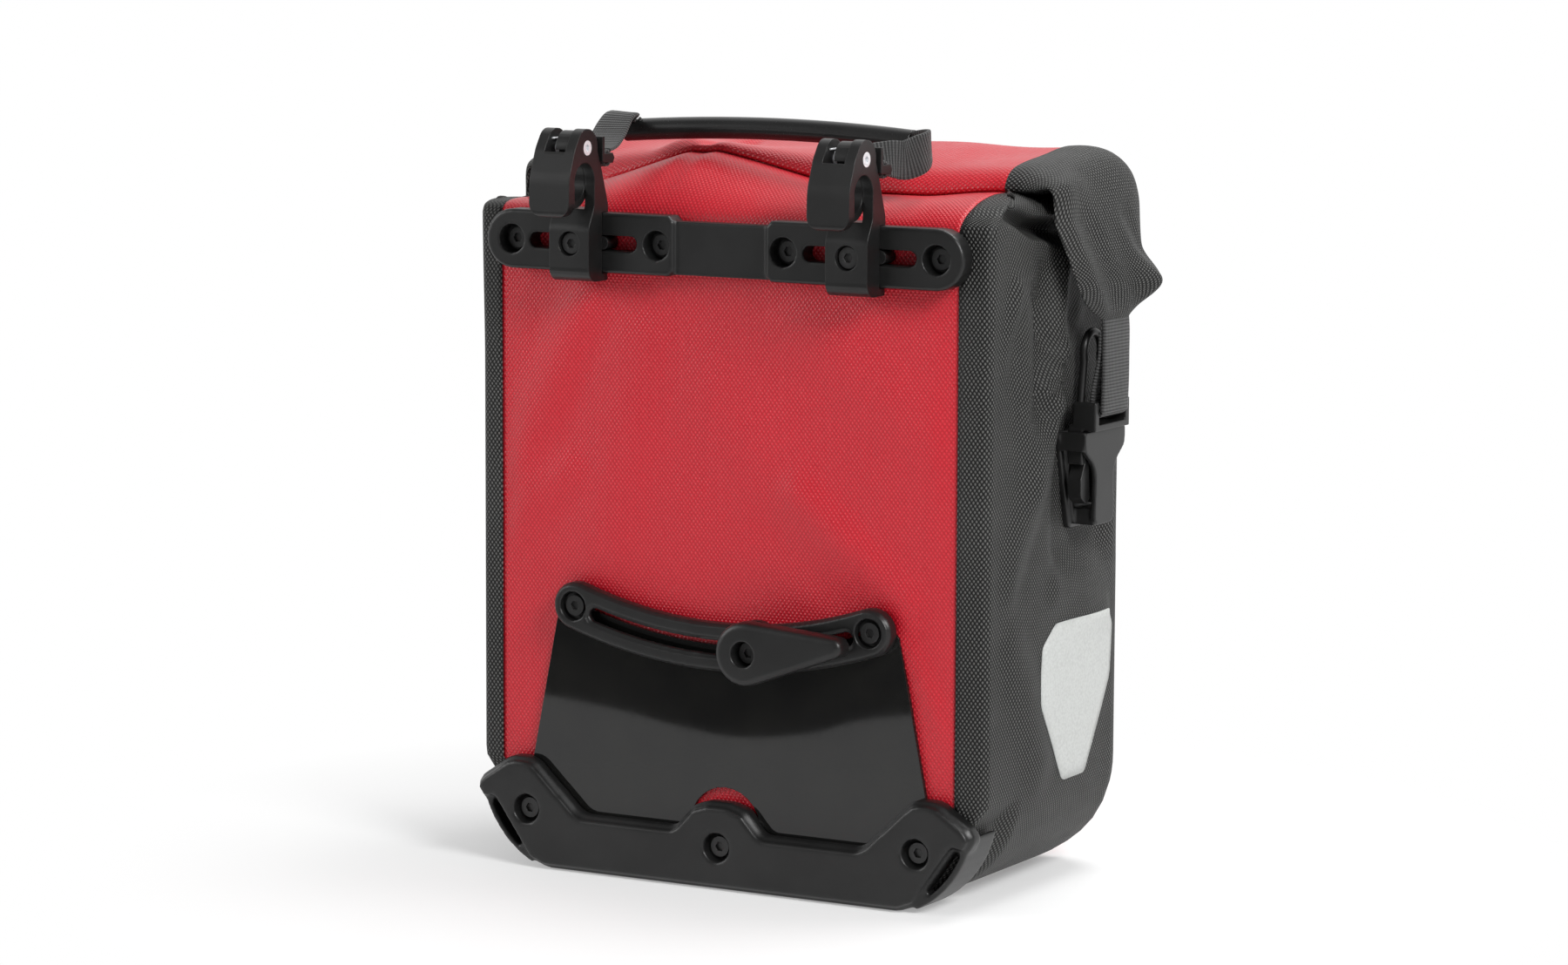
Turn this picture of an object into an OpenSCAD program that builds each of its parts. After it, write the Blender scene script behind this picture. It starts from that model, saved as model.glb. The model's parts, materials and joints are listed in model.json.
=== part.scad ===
// Roll-top pannier bag with rail, clip hooks, lever handle and arched lower anchor.
// Millimetres. Origin at the centre of the base on the floor, +Z up, -Y towards the rack.

/* [Bag body] */
// Width across the side panels at the shoulder
bag_top_w = 252; // [244:1:270]
// Width across the side panels at the base
bag_base_w = 236; // [232:1:244]
// Depth from the back panel to the front panel
bag_d = 134; // [120:1:160]
// Height of the body from the floor to the shoulder
body_h = 298; // [285:1:330]
// Thickness of the coated fabric
fabric_t = 2; // [1.5:0.1:3]
// Width of the coloured middle panel
panel_w = 226; // [216:1:230]
// Radius of the two base corners seen from the back
base_corner_r = 44; // [38:1:46]
// Radius of the vertical edges at the back
back_edge_r = 7; // [4:0.5:10]
// Radius of the vertical edges at the front
front_edge_r = 14; // [8:1:18]
// Radius of the edge between the base and the front
base_front_r = 24; // [12:1:32]
// Radius of the edge between the base and the back
base_back_r = 7; // [4:0.5:10]
// Radius of the shoulder edges
shoulder_r = 11; // [6:0.5:14]
// Width of the mouth
mouth_w = 206; // [180:1:208]
// Front to back size of the mouth
mouth_d = 70; // [60:1:72]
// Distance of the mouth's middle in front of the bag's middle
mouth_shift = 12; // [8:1:16]
// Thickness of the stiffener board
board_t = 3; // [2:0.5:4]

/* [Roll-top] */
// Height of the rolled closure above the shoulder at its back
roll_back_h = 13; // [10:0.5:18]
// Height of the rolled closure above the shoulder at its front
roll_front_h = 21; // [18:0.5:26]
// Front to back size of the rolled closure
roll_d = 76; // [74:1:84]
// How far the roll ends reach past the shoulder on each side
roll_overhang = 20; // [18:0.5:26]
// Thickness of the roll ends where they hang down
ear_t = 12; // [10:0.5:16]
// Height of the roll ends' tips above the floor
ear_low_z = 252; // [250:0.5:260]
// Width of the closure webbing
strap_w = 25; // [20:1:28]
// Thickness of the closure webbing
strap_t = 2; // [1.5:0.1:2.4]
// Width of the stiffener strip inside the roll
strip_w = 26; // [20:1:30]
// Thickness of the stiffener strip
strip_t = 3; // [2:0.5:4]
// Distance of the strip in front of the roll's back edge
strip_in = 24; // [20:1:26]
// Height of the strip above the roll's underside
strip_up = 6; // [5:0.5:7]
// Distance of the roll's top edge behind its front
roll_slope_d = 20; // [16:1:24]
// Radius of the roll's top edge
roll_top_r = 16; // [12:1:18]
// How far the roll-top lifts to open the mouth
roll_lift = 110; // [80:1:140]

/* [Buckles] */
// Height of the socket's mouth above the floor
buckle_z = 200; // [196:0.5:204]
// Length of the socket
socket_h = 43; // [40:0.5:48]
// Width of the socket's mouth, outside
socket_w = 39; // [38:0.5:44]
// Width of the socket's waist
socket_waist_w = 17; // [14:0.5:20]
// Height of the socket's floor above the side panel
socket_pad_t = 4.5; // [3.5:0.1:6]
// Thickness of the plug
plug_t = 7; // [6:0.5:8]
// Height of the strap bar above the socket's mouth
strap_bar_rise = 9.5; // [9:0.1:11]
// Depth of the prongs' roots below the socket's mouth
prong_drop = 12; // [11:0.5:13]
// Height of the ring's middle above the socket's mouth
ring_rise = 33.5; // [32:0.5:36]
// Clearance between moving buckle pieces
buckle_gap = 0.4; // [0.3:0.05:0.6]
// Radius of the ring's rod
ring_rod_r = 1.8; // [1.4:0.1:2.2]
// Radius of the ring's round end
ring_r = 8.2; // [7:0.2:9]

/* [Top rail] */
// Distance of the rail's centre line below the shoulder
rail_drop = 20; // [18:0.5:26]
// Height of the rail
rail_h = 26; // [24:0.5:28]
// Thickness of the rail's end pads
rail_t = 9.2; // [8:0.1:11]
// Thickness of the rail's middle
rail_web_t = 7; // [5:0.1:7.5]
// Height of the rail's middle
rail_web_h = 23; // [20:0.5:23.5]
// Half distance between the two inner screws
rail_screw_in = 31.2; // [29:0.1:32]
// Half distance between the two outer screws
rail_screw_out = 104.4; // [102:0.1:106]
// Distance from the inner screws to the inner ends of the pads
pad_end = 8.5; // [8:0.1:12]
// Chamfer at the inner ends of the pads
pad_chamfer = 2.5; // [1.5:0.1:4]
// Length of each slot
slot_len = 54; // [50:0.5:55]
// Height of each slot
slot_h = 6.6; // [6:0.1:8]

/* [Rack hooks] */
// Half distance between the two hooks
hook_x = 68; // [67:0.1:69]
// Width of a hook
hook_w = 20; // [18:0.2:22]
// Diameter of the rack tube that the hook takes
tube_d = 16; // [12:0.5:16]
// Radial play of the tube in the hook
tube_play = 0.2; // [0.1:0.05:0.2]
// Thickness of the clamp in front of the rail
hook_wall = 11; // [9:0.5:12]
// Thickness of the hook's nose
nose_t = 5; // [4:0.2:6]
// How far the nose reaches below the tube's axis
nose_drop = 14.7; // [12:0.1:15]
// Height of the tube's axis above the rail's centre line
tube_rise = 27; // [26.5:0.1:29]
// Radius of the lever pin
pin_r = 2; // [1.6:0.1:2.2]
// Radial play of the lever on its pin
pin_play = 0.05; // [0.03:0.01:0.08]
// Width of the lever's slot in the hook
lever_slot_w = 10.4; // [9.6:0.1:11]
// Clearance on each side of the lever
lever_gap = 0.3; // [0.2:0.05:0.5]
// Distance from the pin to the strap bar
lever_tail = 18; // [17.5:0.1:19]
// Drop of the strap bar below the pin
lever_drop = 5.16; // [4.6:0.02:5.3]
// Thickness of the lever's jaw
jaw_t = 3; // [2.4:0.1:3.2]
// Wire diameter of the lever spring
spring_wire = 0.8; // [0.7:0.05:0.9]
// Turns of the lever spring
spring_turns = 2; // [1.5:0.5:2]

/* [Handle] */
// Width of the handle webbing
handle_strap_w = 18; // [14:0.5:18]
// Thickness of the handle webbing
handle_strap_t = 1.6; // [1.2:0.1:1.8]
// Length of the grip tube
grip_len = 142; // [130:1:142]
// Outer radius of the grip tube
grip_r = 4.8; // [4.4:0.1:5.4]
// Bore radius of the grip tube
grip_bore_r = 3.2; // [2.6:0.1:3.6]
// Height of the grip above the shoulder
grip_rise = 29; // [27:0.5:34]
// Distance of the grip in front of the back panel
grip_in = 33; // [30:0.5:33.5]
// Radius of the grip's long curve
grip_bend_r = 865; // [600:5:1400]

/* [Wear plate and arched rail] */
// Thickness of the wear plate
plate_t = 2; // [1.5:0.1:2.4]
// Half width of the wear plate at its top
plate_top_half = 84.5; // [80:0.5:88]
// Half width of the wear plate at its widest
plate_low_half = 98; // [94:0.5:99]
// Height of the arched rail's lowest point above the floor
arch_low_z = 106; // [100:0.5:115]
// Radius of the arched rail's centre line
arch_r = 223; // [200:1:260]
// Half distance between the arched rail's screws
arch_half = 73.3; // [70:0.1:78]
// Half width of the arched rail
arch_band = 10.5; // [10:0.1:12]
// Thickness of the arched rail
arch_t = 7.2; // [6.8:0.1:9]
// Width of the arched slot
arch_slot_w = 6; // [5.6:0.1:7]
// Radius of the anchor hook's hub
anchor_hub_r = 13.8; // [12:0.2:15]
// Length of the anchor hook from its hub to its tip
anchor_len = 48; // [40:0.5:52]
// Thickness of the anchor hook's wing
anchor_wing_t = 9; // [7:0.5:11]
// Gap between the arched rail and the anchor hook's wing
anchor_gap = 6; // [5:0.5:9]

/* [Bottom guard] */
// Half width of the guard at its tips
guard_half = 124.5; // [122:0.5:128]
// Height of the guard's corners
guard_corner_z = 49; // [46:0.5:54]
// Height of the guard's long middle edge
guard_mid_z = 26; // [24:0.5:30]
// Thickness of the guard's front
guard_t = 10.5; // [9:0.1:12]
// Thickness of the lip under the bag
guard_lip_t = 2.5; // [2:0.1:3]
// Half width of the guard on the floor
guard_floor_half = 88; // [80:0.5:90]
// How far the lip reaches under the bag
guard_lip_d = 18; // [14:0.5:24]
// Thickness of the guard's skids under the bag's corners
skid_t = 2.8; // [2:0.1:3.5]
// Radius of the guard's soft front edge
guard_edge = 3; // [1.5:0.1:3.5]

/* [Reflectors] */
// Height of a reflector's lower edge above the floor
reflector_low = 48; // [40:1:60]
// Height of a reflector
reflector_h = 70; // [60:1:80]
// Front to back size of a reflector
reflector_d = 75; // [60:1:84]
// Distance of a reflector's back tip behind the bag's middle
reflector_back = 24; // [16:1:30]
// Thickness of the reflective film
reflector_t = 0.8; // [0.4:0.1:1.2]

/* [Fasteners] */
// Radius of the screw shanks
screw_r = 2.5; // [2:0.1:2.6]
// Radius of the screw heads
screw_head_r = 4.5; // [4:0.1:5]
// Height of the screw heads
screw_head_h = 2.2; // [2:0.1:2.4]
// Radius of the counterbores
screw_sink_r = 6.3; // [5.6:0.1:6.6]
// Radial clearance round the screws
screw_play = 0.1; // [0.05:0.05:0.3]

/* [Hidden] */
$fn = 48;

red = [0.72, 0.06, 0.1];
black_fabric = [0.09, 0.09, 0.09];
black_plastic = [0.13, 0.13, 0.13];
gloss_black = [0.06, 0.06, 0.06];
steel = [0.75, 0.76, 0.78];
grey = [0.78, 0.79, 0.8];

// Clearance between flat faces that slide on each other
slide_gap = 0.15;
// Clearance between pieces of different bodies
clear = 0.3;
// Small overlap that keeps cuts clean
lap = 0.05;

back_y = -bag_d / 2;
front_y = bag_d / 2;
half_top = bag_top_w / 2;
half_base = bag_base_w / 2;
tilt = atan((half_top - half_base) / body_h);
far = 400;

// The base steps up over the guard's lip
lip_clear = guard_lip_t + 0.2;
lip_end_y = back_y + guard_lip_d;
mouth_back_y = mouth_shift - mouth_d / 2;

rail_z = body_h - rail_drop;
rail_top = rail_z + rail_h / 2;
rail_low = rail_z - rail_h / 2;
rail_face = back_y - rail_t;

tube_r = tube_d / 2 + tube_play;
tube_y = rail_face - hook_wall - tube_r + 4.9;
tube_z = rail_z + tube_rise;
// The straight sides of the hook's gap are a little closer than the bore, so the tube snaps in
gap_half = tube_r - 0.15;
pin_y = tube_y + 2.5;
pin_z = tube_z + tube_r + 6.3;
hook_face = rail_face - hook_wall;
cheek_r = 8.2;
nose_low = tube_z - nose_drop;

bar_y = pin_y + lever_tail;
bar_z = pin_z - lever_drop;
bar_r = 1.8;
loop_out_r = bar_r + 1 + handle_strap_t;
grip_y = back_y + grip_in;
grip_z = body_h + grip_rise;
grip_half_angle = asin(grip_len / 2 / grip_bend_r);
grip_end_z = grip_z - grip_bend_r * (1 - cos(grip_half_angle));

plate_face = back_y - plate_t;
arch_z = arch_low_z + arch_r;
arch_face = plate_face - arch_t;
arch_angle = asin(arch_half / arch_r);
arch_end_z = arch_z - arch_r * cos(arch_angle);
slot_angle = arch_angle - 2.9;
anchor_angle = 5.3;
anchor_x = arch_r * sin(anchor_angle);
anchor_z = arch_z - arch_r * cos(anchor_angle);
anchor_lift = 8;
runner_half_angle = 1.9;
washer_t = 3;
wing_back = arch_face - anchor_gap;
wing_face = wing_back - anchor_wing_t;

guard_face = back_y - guard_t;
guard_screws_at = [[-97, 26.2], [97, 26.2], [0, 18.8]];
rail_screws_at = [for (s = [-1, 1], x = [rail_screw_in, rail_screw_out]) [s * x, rail_z]];
arch_screws_at = [for (s = [-1, 1]) [s * arch_half, arch_end_z]];
board_face = back_y + fabric_t + board_t;
nut_flange_r = 6;
nut_h = 4.6;

// Buckle on the right side: y of its middle and x of its pieces
buckle_y = mouth_shift + 6;
panel_x = half_base + buckle_z * tan(tilt);
socket_pad_x = panel_x + socket_pad_t;
plug_x = socket_pad_x + buckle_gap;
plug_far_x = plug_x + plug_t;
socket_face_wall = 2.4;
socket_face_x = plug_far_x + buckle_gap + socket_face_wall;
socket_wall = 2;
mouth_half = socket_w / 2 - socket_wall;
socket_low_z = buckle_z - socket_h;
bar_half = strap_w / 2 + 0.6;
plug_bar_r = 1.6;
plug_bar_x = plug_far_x + 4;
plug_bar_z = buckle_z + strap_bar_rise;
strap_in_r = plug_bar_r + clear;
strap_x = plug_bar_x + strap_in_r;
plug_half = mouth_half - buckle_gap;
prong_z = buckle_z - prong_drop;
prong_y = 11;
prong_root_r = 2.4;
ring_z = buckle_z + ring_rise;

roll_low = body_h + clear;
roll_back_y = mouth_back_y - 2.5;
roll_front_y = roll_back_y + roll_d;
roll_end_x = half_top + roll_overhang;
ear_in_x = roll_end_x - ear_t;

// Points along an arc round c, from angle a0 to angle a1
function arc(c, r, a0, a1, n = 8) =
    [for (i = [0 : n]) let (a = a0 + (a1 - a0) * i / n) c + r * [cos(a), sin(a)]];

function unit(v) = v / norm(v);

// The points that round one corner b = [x, y, radius] between its neighbours a and c
function corner(a, b, c, n) = b[2] <= 0 ? [[b[0], b[1]]] : let (
    at = [b[0], b[1]],
    u = unit([a[0], a[1]] - at),
    v = unit([c[0], c[1]] - at),
    half = acos(max(-1, min(1, u * v))) / 2,
    middle = at + unit(u + v) * b[2] / sin(half),
    from = at + u * b[2] / tan(half) - middle,
    to = at + v * b[2] / tan(half) - middle,
    start = atan2(from[1], from[0]),
    sweep = (atan2(to[1], to[0]) - start + 540) % 360 - 180
) arc(middle, b[2], start, start + sweep, n);

// Closed outline with each corner [x, y, radius] rounded
function rounded(p, n = 6) = let (m = len(p))
    [for (i = [0 : m - 1]) each corner(p[(i + m - 1) % m], p[i], p[(i + 1) % m], n)];

// Closed outline moved inwards by d, for an outline that runs anticlockwise
function inset(p, d) = let (m = len(p))
    [for (i = [0 : m - 1]) let (t = unit(p[(i + 1) % m] - p[(i + m - 1) % m])) p[i] + d * [-t[1], t[0]]];

// Outline of two circles joined by their outer tangents
function two_circles(c1, r1, c2, r2, n = 14) = let (
    d = c2 - c1,
    b = atan2(d[1], d[0]),
    g = acos((r1 - r2) / norm(d))
) concat(arc(c1, r1, b + g, b + 360 - g, n), arc(c2, r2, b - g, b + g, n));

// Band along the arched rail between radii arch_r - w and arch_r + w, with round ends
function arch_stadium(w, half, n = 24) = let (
    end = [arch_r * sin(half), arch_z - arch_r * cos(half)]
) concat(
    [for (i = [0 : n]) let (a = half * (2 * i / n - 1)) [0, arch_z] + (arch_r + w) * [sin(a), -cos(a)]],
    arc(end, w, half - 80, half + 80, 8),
    [for (i = [0 : n]) let (a = half * (1 - 2 * i / n)) [0, arch_z] + (arch_r - w) * [sin(a), -cos(a)]],
    arc([-end[0], end[1]], w, 100 - half, 260 - half, 8));

function mirror_x(p) = [for (i = [len(p) - 1 : -1 : 0]) [-p[i][0], p[i][1], p[i][2]]];

// Outline in x and z, made solid between y0 and y1
module slab(outline, y0, y1) {
    translate([0, y1, 0]) rotate([90, 0, 0]) linear_extrude(y1 - y0) polygon(outline);
}

// Outline in y and z, made solid between x0 and x1
module bar(outline, x0, x1) {
    translate([x0, 0, 0]) rotate([90, 0, 90]) linear_extrude(x1 - x0) polygon(outline);
}

module rod_x(r, x0, x1, y, z) {
    translate([x0, y, z]) rotate([0, 90, 0]) cylinder(h = x1 - x0, r = r);
}

module rod_y(r, y0, y1, x, z) {
    translate([x, y1, z]) rotate([90, 0, 0]) cylinder(h = y1 - y0, r = r);
}

// Moulded plate: outline in x and z, flat back at y_back, front at y_front with a round edge
module moulded(outline, y_back, y_front, edge, steps = 3) {
    m = len(outline);
    rings = concat([[y_back, 0]],
        [for (k = [0 : steps]) let (a = 90 * k / steps) [y_front + edge * (1 - sin(a)), edge * (1 - cos(a))]]);
    points = [for (ring = rings, p = inset(outline, ring[1])) [p[0], ring[0], p[1]]];
    last = (len(rings) - 1) * m;
    sides = [for (j = [0 : len(rings) - 2], i = [0 : m - 1])
        [j * m + i, (j + 1) * m + i, (j + 1) * m + (i + 1) % m, j * m + (i + 1) % m]];
    back = [[for (i = [0 : m - 1]) i]];
    front = [[for (i = [m - 1 : -1 : 0]) last + i]];
    polyhedron(points = points, faces = concat(back, sides, front), convexity = 8);
}

// Moulded plate with a stepped edge: outline in x and z, flat back at y_back, front at y_front
module stepped(outline, y_back, y_front, edge) {
    slab(outline, y_front + edge, y_back);
    slab(inset(outline, 0.7 * edge), y_front, y_front + edge + lap);
}

// Side view of the bag, moved inwards by i
function side_outline(i) = rounded([
    [back_y + i, lip_clear + i, base_back_r - i],
    [lip_end_y + lap + i, lip_clear + i, 0],
    [lip_end_y + lip_clear + i, i, 0],
    [front_y - i, i, base_front_r - i],
    [front_y - i, body_h - i, shoulder_r - i],
    [back_y + i, body_h - i, shoulder_r - i]]);

// Back view of the bag, moved inwards by i and a little wide, because the edge prism cuts the sides
function back_outline(i) = rounded([
    [-half_base - 10 * lap + i, i, base_corner_r - i],
    [half_base + 10 * lap - i, i, base_corner_r - i],
    [half_top + 10 * lap - i, body_h + lap, 0],
    [-half_top - 10 * lap + i, body_h + lap, 0]]);

// Leaning prism that rounds the two vertical edges of the right side
module edge_prism(i) {
    translate([half_base - i, 0, 0]) rotate([0, tilt, 0]) translate([0, 0, -far / 8]) linear_extrude(far)
        polygon(rounded([
            [-far, back_y - lap + i, 0],
            [0, back_y - lap + i, back_edge_r - i / 2],
            [0, front_y + lap - i, front_edge_r - i / 2],
            [-far, front_y + lap - i, 0]]));
}

module bag_form(i) {
    intersection() {
        bar(side_outline(i), -far / 2, far / 2);
        slab(back_outline(i), -far / 2, far / 2);
        children();
    }
}

module screw_holes(places, y0, y1) {
    for (p = places) rod_y(screw_r + screw_play, y0, y1, p[0], p[1]);
}

// The mouth, and the holes for the screws of the rack side
module openings() {
    translate([-mouth_w / 2, mouth_back_y, body_h - 2 * fabric_t]) cube([mouth_w, mouth_d, 4 * fabric_t]);
    screw_holes(concat(rail_screws_at, arch_screws_at, guard_screws_at), back_y - 1, back_y + fabric_t + 1);
}

// Everything outside the leaning right side panel, moved inwards by i
module outside(i = 0) {
    translate([half_base - i, 0, 0]) rotate([0, tilt, 0]) translate([0, -far / 2, -far / 4])
        cube([far, far, 2 * far]);
}

module between_sides(i) difference() {
    children();
    for (s = [0, 1]) mirror([s, 0, 0]) outside(i);
}

// The coloured panel is welded from four lengths: base, back, front and shoulder
base_seam_z = base_front_r + 2;
shoulder_seam_z = body_h - shoulder_r - 1;

module panel_length(y0, y1, z0, z1) color(red) difference() {
    bag_form(0) translate([-panel_w / 2, y0, z0]) cube([panel_w, y1 - y0, z1 - z0]);
    bag_form(fabric_t) between_sides(fabric_t)
        translate([-panel_w, -far / 2, -1]) cube([2 * panel_w, far, far]);
    openings();
    for (s = [0, 1]) mirror([s, 0, 0]) outside();
}

module side_panel() color(black_fabric) difference() {
    bag_form(0) intersection() {
        edge_prism(0);
        translate([panel_w / 2, -far / 2, -1]) cube([far, far, far]);
    }
    bag_form(fabric_t) edge_prism(fabric_t);
    openings();
}

module stiffener_board() {
    half = half_base - fabric_t - back_edge_r;
    low = lip_clear + fabric_t + base_back_r;
    high = body_h - shoulder_r - 1;
    corner_r = base_corner_r - low - nut_flange_r;
    color([0.2, 0.2, 0.2]) difference() {
        slab(rounded([
            [-half, low, corner_r],
            [half, low, corner_r],
            [half, high, 8],
            [-half, high, 8]]), back_y + fabric_t, board_face);
        screw_holes(concat(rail_screws_at, arch_screws_at, guard_screws_at), back_y, board_face + 1);
    }
}

// Right end pad of the rail: round outside, chamfered inside
pad_outline = let (in_x = rail_screw_in - pad_end, r = rail_h / 2) concat(
    arc([rail_screw_out, rail_z], r, -90, 90, 12),
    [[in_x + pad_chamfer, rail_z + r], [in_x, rail_z + r - pad_chamfer],
        [in_x, rail_z - r + pad_chamfer], [in_x + pad_chamfer, rail_z - r]]);

module top_rail() {
    slot_r = slot_h / 2;
    floor_t = rail_t - 7.5;
    color(black_plastic) difference() {
        union() {
            for (s = [0, 1]) mirror([s, 0, 0]) moulded(pad_outline, back_y, rail_face, 1.2, 2);
            translate([-rail_screw_in, back_y - rail_web_t, rail_z - rail_web_h / 2 - 0.8])
                cube([2 * rail_screw_in, rail_web_t, rail_web_h]);
        }
        for (s = [-1, 1]) {
            translate([s * hook_x - slot_len / 2 + slot_r, rail_face - 1, rail_z - slot_r])
                cube([slot_len - slot_h, rail_t + 2, slot_h]);
            for (e = [-1, 1]) rod_y(slot_r + lap, rail_face - 1, back_y + 1,
                s * hook_x + e * (slot_len / 2 - slot_r), rail_z);
        }
        for (p = rail_screws_at) {
            rod_y(screw_sink_r, rail_face - 1, back_y - floor_t, p[0], p[1]);
            rod_y(screw_r + screw_play, rail_face - 1, back_y + 1, p[0], p[1]);
        }
    }
}

// Round-head screw along +Y, with its head's seat at y_seat and its tip at y_tip
module screw(x, z, y_seat, y_tip) {
    difference() {
        union() {
            rod_y(screw_r, y_seat - lap, y_tip, x, z);
            rod_y(screw_head_r, y_seat - screw_head_h, y_seat, x, z);
        }
        translate([x, y_seat - screw_head_h + 1.4, z]) rotate([90, 0, 0]) cylinder(h = 2, r = 2.2, $fn = 6);
    }
}

nut_tip_y = board_face + nut_h + 0.5;

module rail_screws() color(black_plastic)
    for (p = rail_screws_at) screw(p[0], p[1], rail_face + 7.5, nut_tip_y);

module arched_rail_screws() color(black_plastic)
    for (p = arch_screws_at) screw(p[0], p[1], arch_face + 4.2, nut_tip_y);

module guard_screws() color(black_plastic)
    for (p = guard_screws_at) screw(p[0], p[1], guard_face + 6, nut_tip_y);

module backing_nuts() color(steel)
    for (p = concat(rail_screws_at, arch_screws_at, guard_screws_at)) difference() {
        union() {
            rod_y(nut_flange_r, board_face, board_face + 1.6, p[0], p[1]);
            translate([p[0], board_face + nut_h, p[1]]) rotate([90, 0, 0])
                cylinder(h = nut_h - 1, r = nut_flange_r - 1.4, $fn = 6);
        }
        rod_y(screw_r + lap, board_face - 1, board_face + nut_h + 1, p[0], p[1]);
    }

notch_z = guard_mid_z + 0.5;
notch_r = 17.5;

// Wear plate: its top runs behind the arched rail, its low edge under the guard
plate_outline = let (
    top = [for (i = [0 : 12]) let (a = arch_angle * (1 - i / 6)) [0, arch_z] + arch_r * [sin(a), -cos(a)]],
    low_z = guard_mid_z - 4.5,
    notch = [for (p = arc([0, notch_z], notch_r, 180 + 16, -16, 16)) p]
) concat(
    notch,
    rounded([[notch_r + 4, low_z, 0], [68, low_z, 3], [plate_low_half - 2, guard_corner_z - 5, 2],
        [plate_low_half, guard_corner_z - 1, 0], [plate_top_half, arch_end_z - 2, 2],
        [plate_top_half - 4, arch_end_z + 2, 0]]),
    top,
    rounded(mirror_x([[notch_r + 4, low_z, 0], [68, low_z, 3], [plate_low_half - 2, guard_corner_z - 5, 2],
        [plate_low_half, guard_corner_z - 1, 0], [plate_top_half, arch_end_z - 2, 2],
        [plate_top_half - 4, arch_end_z + 2, 0]])));

module wear_plate() color(gloss_black) difference() {
    slab(plate_outline, plate_face, back_y);
    screw_holes(concat(arch_screws_at, guard_screws_at), plate_face - 1, back_y + 1);
}

module arched_rail() {
    outline = arch_stadium(arch_band, arch_angle);
    color(black_plastic) difference() {
        stepped(outline, plate_face, arch_face, 1.6);
        slab(arch_stadium(arch_slot_w / 2, slot_angle), arch_face - 1, plate_face + 1);
        slab(arch_stadium(arch_slot_w / 2 + 1.6, slot_angle), arch_face - 1, arch_face + 1.2);
        slab(arch_stadium(arch_slot_w / 2 + 3, slot_angle), plate_face - 3, plate_face + 1);
        for (p = arch_screws_at) {
            rod_y(screw_sink_r, arch_face - 1, arch_face + 4.2, p[0], p[1]);
            rod_y(screw_r + screw_play, arch_face - 1, plate_face + 1, p[0], p[1]);
        }
    }
}

// Block that runs in the arched slot: part of a ring round the arch's centre
module arch_block(w, y0, y1) intersection() {
    difference() {
        rod_y(arch_r + w, y0, y1, 0, arch_z);
        rod_y(arch_r - w, y0 - 1, y1 + 1, 0, arch_z);
    }
    slab(concat([[0, arch_z]], [for (s = [-1, 1]) let (a = anchor_angle + s * runner_half_angle)
        [0, arch_z] + far * [sin(a), -cos(a)]]), y0 - 1, y1 + 1);
}

module anchor_runner() color(black_plastic) difference() {
    union() {
        arch_block(arch_slot_w / 2 + 3 - clear, plate_face - 3 + clear, plate_face - slide_gap);
        arch_block(arch_slot_w / 2 - clear, arch_face + 1.2, plate_face - 1);
    }
    rod_y(screw_r + lap, arch_face - 1, back_y, anchor_x, anchor_z);
}

module anchor_washer() color(black_plastic) difference() {
    union() {
        rod_y(anchor_hub_r - 0.6, arch_face - washer_t, arch_face - slide_gap, anchor_x, anchor_z);
        arch_block(arch_slot_w / 2 - clear, arch_face - 1, arch_face + 1.2);
    }
    rod_y(screw_r + screw_play, arch_face - 2 * washer_t, back_y, anchor_x, anchor_z);
}

module anchor_screw() color(black_plastic) screw(anchor_x, anchor_z, wing_face + 8, plate_face - 0.5);

module anchor_hook() {
    tip = [anchor_x, anchor_z] + (anchor_len - 4.5) * [cos(anchor_lift), sin(anchor_lift)];
    color(black_plastic) difference() {
        union() {
            moulded(two_circles([anchor_x, anchor_z], anchor_hub_r, tip, 4.5), wing_back, wing_face, 2.6);
            rod_y(anchor_hub_r - 1.2, wing_back - 1, arch_face - washer_t - slide_gap, anchor_x, anchor_z);
        }
        rod_y(screw_r + screw_play, wing_face - 1, back_y, anchor_x, anchor_z);
        rod_y(screw_head_r + 1, wing_face - 1, wing_face + 8 + lap, anchor_x, anchor_z);
    }
}

// Right half of the guard's front, from the floor to the bump in its middle
guard_round = guard_edge + 0.6;
guard_right = [[guard_floor_half, 0, 8], [guard_floor_half + 8.5, 3.2, guard_round], [guard_half - 9.5, 29, 1],
    [guard_half - 5, 26.5, guard_round], [guard_half, 34, guard_round], [guard_half - 3, 39, guard_round],
    [guard_half - 18, guard_corner_z, 12], [plate_low_half - 3, guard_corner_z, 9],
    [70, guard_mid_z, 8], [22, guard_mid_z, 5], [13, guard_mid_z + 10, 6]];
// Middle of the bag's round base corner, which the skid follows
corner_c = [half_base + 10 * lap + base_corner_r * (tan(tilt) - 1 / cos(tilt)), base_corner_r];
skid_in_r = base_corner_r + clear + lap;
skid_from = -64;
skid_to = -12;

module bottom_guard() {
    outline = rounded(concat(guard_right, [[5, guard_mid_z + 12.5, 8], [-5, guard_mid_z + 12.5, 8]],
        mirror_x(guard_right)), 4);
    color(black_plastic) difference() {
        union() {
            stepped(outline, back_y, guard_face, guard_edge);
            translate([-guard_floor_half, back_y - 2, 0.1])
                cube([2 * guard_floor_half, guard_lip_d + 2, guard_lip_t - 0.1]);
            for (s = [0, 1]) mirror([s, 0, 0]) slab(concat(
                arc(corner_c, skid_in_r + skid_t, skid_from, skid_to, 8),
                arc(corner_c, skid_in_r, skid_to, skid_from, 8)), guard_face + 3, back_y + guard_lip_d);
        }
        slab(inset(plate_outline, -clear), plate_face - slide_gap, back_y + 1);
        for (p = guard_screws_at) {
            rod_y(screw_sink_r, guard_face - 1, guard_face + 6, p[0], p[1]);
            rod_y(screw_r + screw_play, guard_face - 1, back_y + 1, p[0], p[1]);
        }
    }
}

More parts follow.
